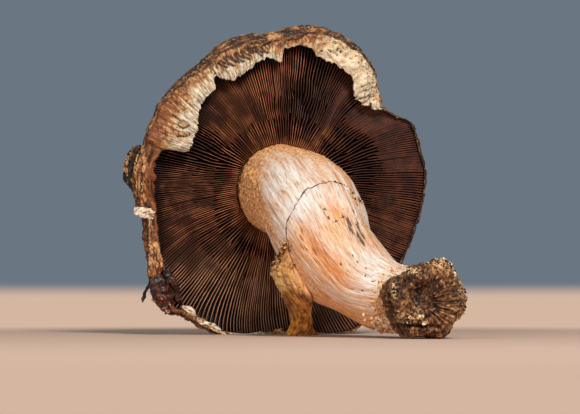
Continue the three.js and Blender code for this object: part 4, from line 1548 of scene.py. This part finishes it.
def ring_finish():
    """Ochre fibres, with painted highlights where they are raised, pale where they are torn, and painted
    brown shade where they lie in shade.
    """
    look = Finish("ring veil", 0.75)
    streaks = look.grain(look.mark("fibres", "Vector"), 0.8, 5, Roughness=0.62)
    mottle = look.grain(look.where(), 2.2, 4)
    colour = look.ramp(
        look.plus(look.times(streaks, 0.6), look.times(mottle, 0.4)),
        (0.38, (84, 47, 12)), (0.47, (164, 104, 34)), (0.55, (212, 150, 62)), (0.66, (238, 190, 108)),
    )
    colour = look.laid(
        colour,
        # Painted highlights on the raised ruffles, then painted shade under the hem and on the low side.
        (look.part("high", 0.8), (238, 196, 126)),
        (look.part("shaded", 0.7), (104, 52, 18)),
        (look.part("joins", look.scaled(streaks, 0.4, 0.58, 0.2, 1.0)), (218, 158, 106)),
        (look.part("rim", look.scaled(streaks, 0.35, 0.6)), (232, 196, 142)),
    )
    return look.done(colour, streaks, 0.4, 0.9)


# --- The peat round the foot -------------------------------------------------------------------------

# The lump's middle, its outline as seen from the front (degrees from the right, radius), and its section
# from the front to the back (share of the outline, how far behind the middle).
SOIL_MIDDLE = np.array([46.4, -41.0, 13.6])
SOIL_OUTLINE = [
    (0, 13.6), (20, 13), (40, 12.8), (58, 14), (74, 13.2), (84, 12), (105, 11.6), (122, 11.4), (144, 12),
    (156, 14.2), (172, 14.8), (190, 14), (205, 13.8), (224, 14.6), (248, 13.4), (270, 12.6), (297, 14),
    (322, 12.4), (341, 13.6),
]
SOIL_SECTION = [
    (0, 0.0, -8.4), (0.12, 0.25, -9.2), (0.26, 0.55, -10.6), (0.4, 0.8, -10.2), (0.5, 0.94, -8),
    (0.58, 1, -4), (0.68, 1, 2), (0.8, 0.85, 8), (0.9, 0.5, 10.6), (1, 0, 11.4),
]
SOIL_ROWS = 190
SOIL_COLUMNS = 230
# On the broken end, counted from the lump's middle to the right and up: where the threads fan out from, and
# ovals with their half sizes.
SOIL_HEART = (-1.5, -1.5)
PEAT_HOLLOWS = [(-2.5, 0.5, 2, 4.5), (-8, 5, 2, 2), (0.2, -5.8, 1.2, 1)]
PEAT_LEDGE = [(-4.6, -6.4, 5, 0.9)]
PEAT_UNDERCUTS = [(-6, -9.6, 6.5, 1), (-12.6, -5, 1.4, 4)]
PEAT_CRESTS = [
    (6, 11, 5, 2), (12, 3, 1, 6), (10, -8, 2, 4), (-6, 9, 5, 1), (-3, -1, 1.2, 2.6), (-10.6, 2.6, 1.2, 2.6),
    (-5, -8, 5.5, 0.5),
]


def soil_surface():
    """The lump's plain surface in rows from front to back, with what its relief and its marks share."""
    way = np.linspace(0, 1, SOIL_ROWS + 1)[:, None]
    turn = np.linspace(0, 2 * math.pi, SOIL_COLUMNS, endpoint=False)[None, :]
    on = SimpleNamespace(way=way, degrees=np.degrees(turn) + 0 * way)
    on.wide, behind = np.moveaxis(smooth_table(SOIL_SECTION, way), -1, 0)
    radius = on.wide * smooth_table(SOIL_OUTLINE, np.degrees(turn), period=360)
    right, up = radius * np.cos(turn), radius * np.sin(turn)
    on.spots = SOIL_MIDDLE + vectors(right, behind, up)
    on.front = step(0.62, 0.5, way)
    on.broken = vectors(right, up)
    from_heart = np.hypot(right - SOIL_HEART[0], up - SOIL_HEART[1])
    bearing = np.arctan2(up - SOIL_HEART[1], right - SOIL_HEART[0])
    on.fan = between(np.degrees(bearing) + 180, 95, 260, 12) * step(2, 5, from_heart) * on.front
    on.strands = rough(vectors(9 * np.cos(bearing), 9 * np.sin(bearing), 0.1 * from_heart), 0.75, 3)
    return on


def soil_lump():
    """Peat held by fine threads, broken off flat at the front, where the threads fan out to the rim.

    Gives the piece, its points, where its peat is pale or takes a painted highlight, and where the threads
    fan out."""
    on = soil_surface()
    kinds = (PEAT_HOLLOWS, PEAT_LEDGE, PEAT_UNDERCUTS, PEAT_CRESTS)
    hollow, ledge, undercut, crest = [ovals(on.broken, places) * on.front for places in kinds]
    lumps = 1.3 * rough(on.spots, 8, 2) * (1 - on.front) + 0.9 * rough(on.spots, 4.5, 2)
    lumps += 0.75 * rough(on.spots, 1.6, 3)
    proud = lumps * (1 - 0.75 * on.fan) + 0.9 * on.strands * on.fan
    proud += 1.2 * ledge - 2.2 * hollow - 2.6 * undercut
    proud *= step(0, 0.06, on.way) * step(1, 0.97, on.way)
    near_widest = 100
    points = on.spots + outward(on.spots, SOIL_MIDDLE, near_widest) * proud[..., None]
    open_side = strongest(step(100, 80, on.degrees), step(290, 315, on.degrees)) * step(0.75, 0.6, on.way)
    # Pale at the open rim; on the crests partly pale threads and partly painted highlight; on the ledge a
    # painted highlight.
    pale = strongest(step(0.9, 0.99, on.wide) * open_side, crest, ledge)
    tone = 0.4 + 0.45 * lumps * (1 - 0.6 * on.fan) + 0.6 * on.strands * on.fan
    # The dark mark is painted shade in the hollows and undercuts.
    marks = clipped(tone=tone, pale=pale, dark=hollow + undercut)
    return wrapped("soil_lump", points, **marks), points, pale, on.fan


def soil_crumbs(points, pale, fan):
    """Crumbs stuck all over the lump, most of them small, and pale ones where its peat is pale."""
    count = 1700
    end_rows = 30
    row = random.randint(end_rows, len(points) - end_rows, count)
    column = random.randint(0, points.shape[1], count)
    there = pale[row, column]
    small = random.uniform(0, 1, count)
    kept = ((there > 0.4) | (small < 0.4)) & (fan[row, column] < random.uniform(0.1, 1, count))
    places, there, small = points[row, column][kept], there[kept], small[kept]
    sizes = 0.2 + 0.45 * small**3 + 0.3 * there
    tone = random.uniform(0, 0.5, len(there)) + there * random.choice([-0.1, 0.8], len(there))
    return crumbs_at("soil_crumbs", places, sizes, tone)


def foot_crumbs():
    """Pale crumbs of flesh and thread where the foot goes into the peat."""
    count = 260
    share = 0.9 + 0.05 * random.normal(0, 0.5, count)
    degrees = 60 + 200 * random.uniform(0, 1, count) ** 0.45
    places = on_stem(np.clip(share, 0.84, 0.98), degrees, random.uniform(-0.2, 0.5, count))
    return strewn("foot_crumbs", places, 0.25, 0.55, 2, 0.3)


def peat_finish():
    """Dark and tan peat, pale flecks at its rim and crests, a painted highlight on its ledge, and painted
    shade in its hollows and undercuts.
    """
    look = Finish("peat", 0.85)
    spot = look.where()
    mottle = look.grain(spot, 1.3, 5, Roughness=0.6)
    colour = look.ramp(
        look.plus(look.scaled(look.mark("tone"), 0, 1, -0.08, 0.1), mottle),
        (0.34, (36, 20, 10)), (0.45, (76, 45, 24)), (0.57, (134, 85, 48)), (0.68, (216, 158, 96)),
    )
    flecks = look.scaled(look.grain(spot, 0.8, 3), 0.5, 0.6)
    colour = look.laid(
        colour,
        # Pale flecks, which on the crests and the ledge are partly painted highlight.
        (look.part("pale", flecks), (252, 206, 148)),
        # Painted shade in the hollows and undercuts.
        (look.part("dark", 0.8), (22, 12, 7)),
    )
    return look.done(colour, look.grain(spot, 0.5, 4), 0.4, 0.9)


def crumb_finish(name, dark, middle, light):
    """Crumbs, each with its own tone."""
    look = Finish(name, 0.85)
    mottle = look.grain(look.where(), 0.9, 4)
    tone = look.plus(look.mark("tone"), look.scaled(mottle, 0.3, 0.7, -0.25, 0.25))
    return look.done(look.ramp(tone, (0.1, dark), (0.45, middle), (0.9, light)), mottle, 0.3, 0.8)


# --- The table, the lamps and the camera -------------------------------------------------------------

# Radius and height of the table, from its middle out and up into the wall.
TABLE_PROFILE = [
    (0, 0), (200, 0), (500, 0), (800, 0), (900, 1), (940, 6), (965, 18), (975, 30), (985, 60), (990, 700),
]
LAMPS_AIM = (0, 0, 50)
ROOM_LIGHT = 0.32
CAMERA_PLACE = (1.1, -534.6, 11)
CAMERA_TILT = 3.89
FOCAL_LENGTH = 90.3


def stage_table():
    """A wide pale table that turns up into a plain grey-blue wall all round."""
    turn = np.linspace(0, 2 * math.pi, 96, endpoint=False)
    radius, height = np.array(TABLE_PROFILE, float).T[..., None]
    table = wrapped("table", vectors(radius * np.cos(turn), radius * np.sin(turn), height))
    look = Finish("table and wall", 0.9)
    height = look.add("SeparateXYZ", {"Vector": look.where()}, "Z")
    colour = look.blend(look.scaled(height, 0.018, 0.036), (213, 182, 161), (106, 119, 130))
    look.feed(look.shader.inputs["Base Color"], colour)
    # Away from the mushroom the camera sees the colour itself, without shadows.
    glow = look.add("Emission", {"Color": colour, "Strength": 1.0})
    away = look.scaled(look.add("VectorMath", {0: look.where()}, "Value", operation="LENGTH"), 0.12, 0.3)
    seen = look.times(away, look.add("LightPath", {}, "Is Camera Ray"))
    surface = look.add("MixShader", {0: seen, 1: look.shader.outputs[0], 2: glow})
    look.feed(look.tree.nodes["Material Output"].inputs["Surface"], surface)
    table.data.materials.append(look.material)


def stand(name, lamp_or_camera, place):
    """Puts a lamp or the camera at its place."""
    thing = bpy.data.objects.new(name, lamp_or_camera)
    bpy.context.collection.objects.link(thing)
    thing.location = Vector(place) * MM
    return thing


def lamp(name, place, size, power, colour):
    """A round lamp at a place, turned to the middle of the mushroom."""
    light = bpy.data.lights.new(name, "AREA")
    light.shape = "DISK"
    light.size = size * MM
    light.energy = power
    light.color = colour
    thing = stand(name, light, place)
    thing.rotation_euler = (Vector(LAMPS_AIM) - Vector(place)).to_track_quat("-Z", "Y").to_euler()


def lights():
    lamp("key lamp", (260, -700, 600), 240, 7.0, (1, 0.98, 0.95))
    lamp("fill lamp", (-650, -600, 350), 700, 2.4, (0.95, 0.97, 1))
    world = bpy.data.worlds.new("room")
    bpy.context.scene.world = world
    world.use_nodes = True
    sky = world.node_tree.nodes["Background"]
    sky.inputs["Color"].default_value = (0.96, 0.97, 0.98, 1)
    sky.inputs["Strength"].default_value = ROOM_LIGHT


def camera():
    lens = bpy.data.cameras.new("camera")
    lens.lens = FOCAL_LENGTH
    lens.sensor_width = 36
    lens.clip_start = 0.05
    thing = stand("camera", lens, CAMERA_PLACE)
    thing.rotation_euler = (math.radians(90 + CAMERA_TILT), 0, 0)
    bpy.context.scene.camera = thing


camera()
lights()
stage_table()

keep(cap_skin_and_flesh(), cap_finish(), "cap_flesh", "cap")
gill_look = gill_finish()
for row in GILL_ROWS:
    keep(gills(*row), gill_look, "gills", "gills")
keep(stem(), stem_finish(), "stem_flesh", "stem")
cracked = crumb_finish("crack crumbs", (78, 46, 24), (168, 116, 70), (226, 186, 136))
keep(crack_crumbs(), cracked, "stem_flesh", "stem")
margin_scraps()
wet = torn_finish("wet crumbs", (60, 24, 16), (138, 74, 52), (232, 196, 176), 0.4)
keep(wet_crumbs(), wet, "cap_flesh", "cap")
keep(ring(), ring_finish(), "ring_veil", "ring")
torn = torn_finish("torn edge", (34, 19, 10), (110, 68, 34), (204, 152, 92), 0.75)
keep(ring_torn_edge(), torn, "ring_veil", "ring")
crumbly = crumb_finish("crumbly veil", (44, 24, 10), (128, 80, 38), (222, 172, 112))
keep(ring_crumbs(), crumbly, "ring_veil", "ring")
lump, lump_points, lump_pale, lump_fan = soil_lump()
keep(lump, peat_finish(), "peat", "soil")
peaty = crumb_finish("peat crumbs", (22, 12, 7), (98, 60, 32), (255, 222, 170))
keep(soil_crumbs(lump_points, lump_pale, lump_fan), peaty, "peat", "soil")
golden = crumb_finish("foot crumbs", (198, 122, 48), (246, 190, 112), (255, 248, 232))
keep(foot_crumbs(), golden, "stem_flesh", "stem")

bpy.context.scene.view_settings.view_transform = "Standard"
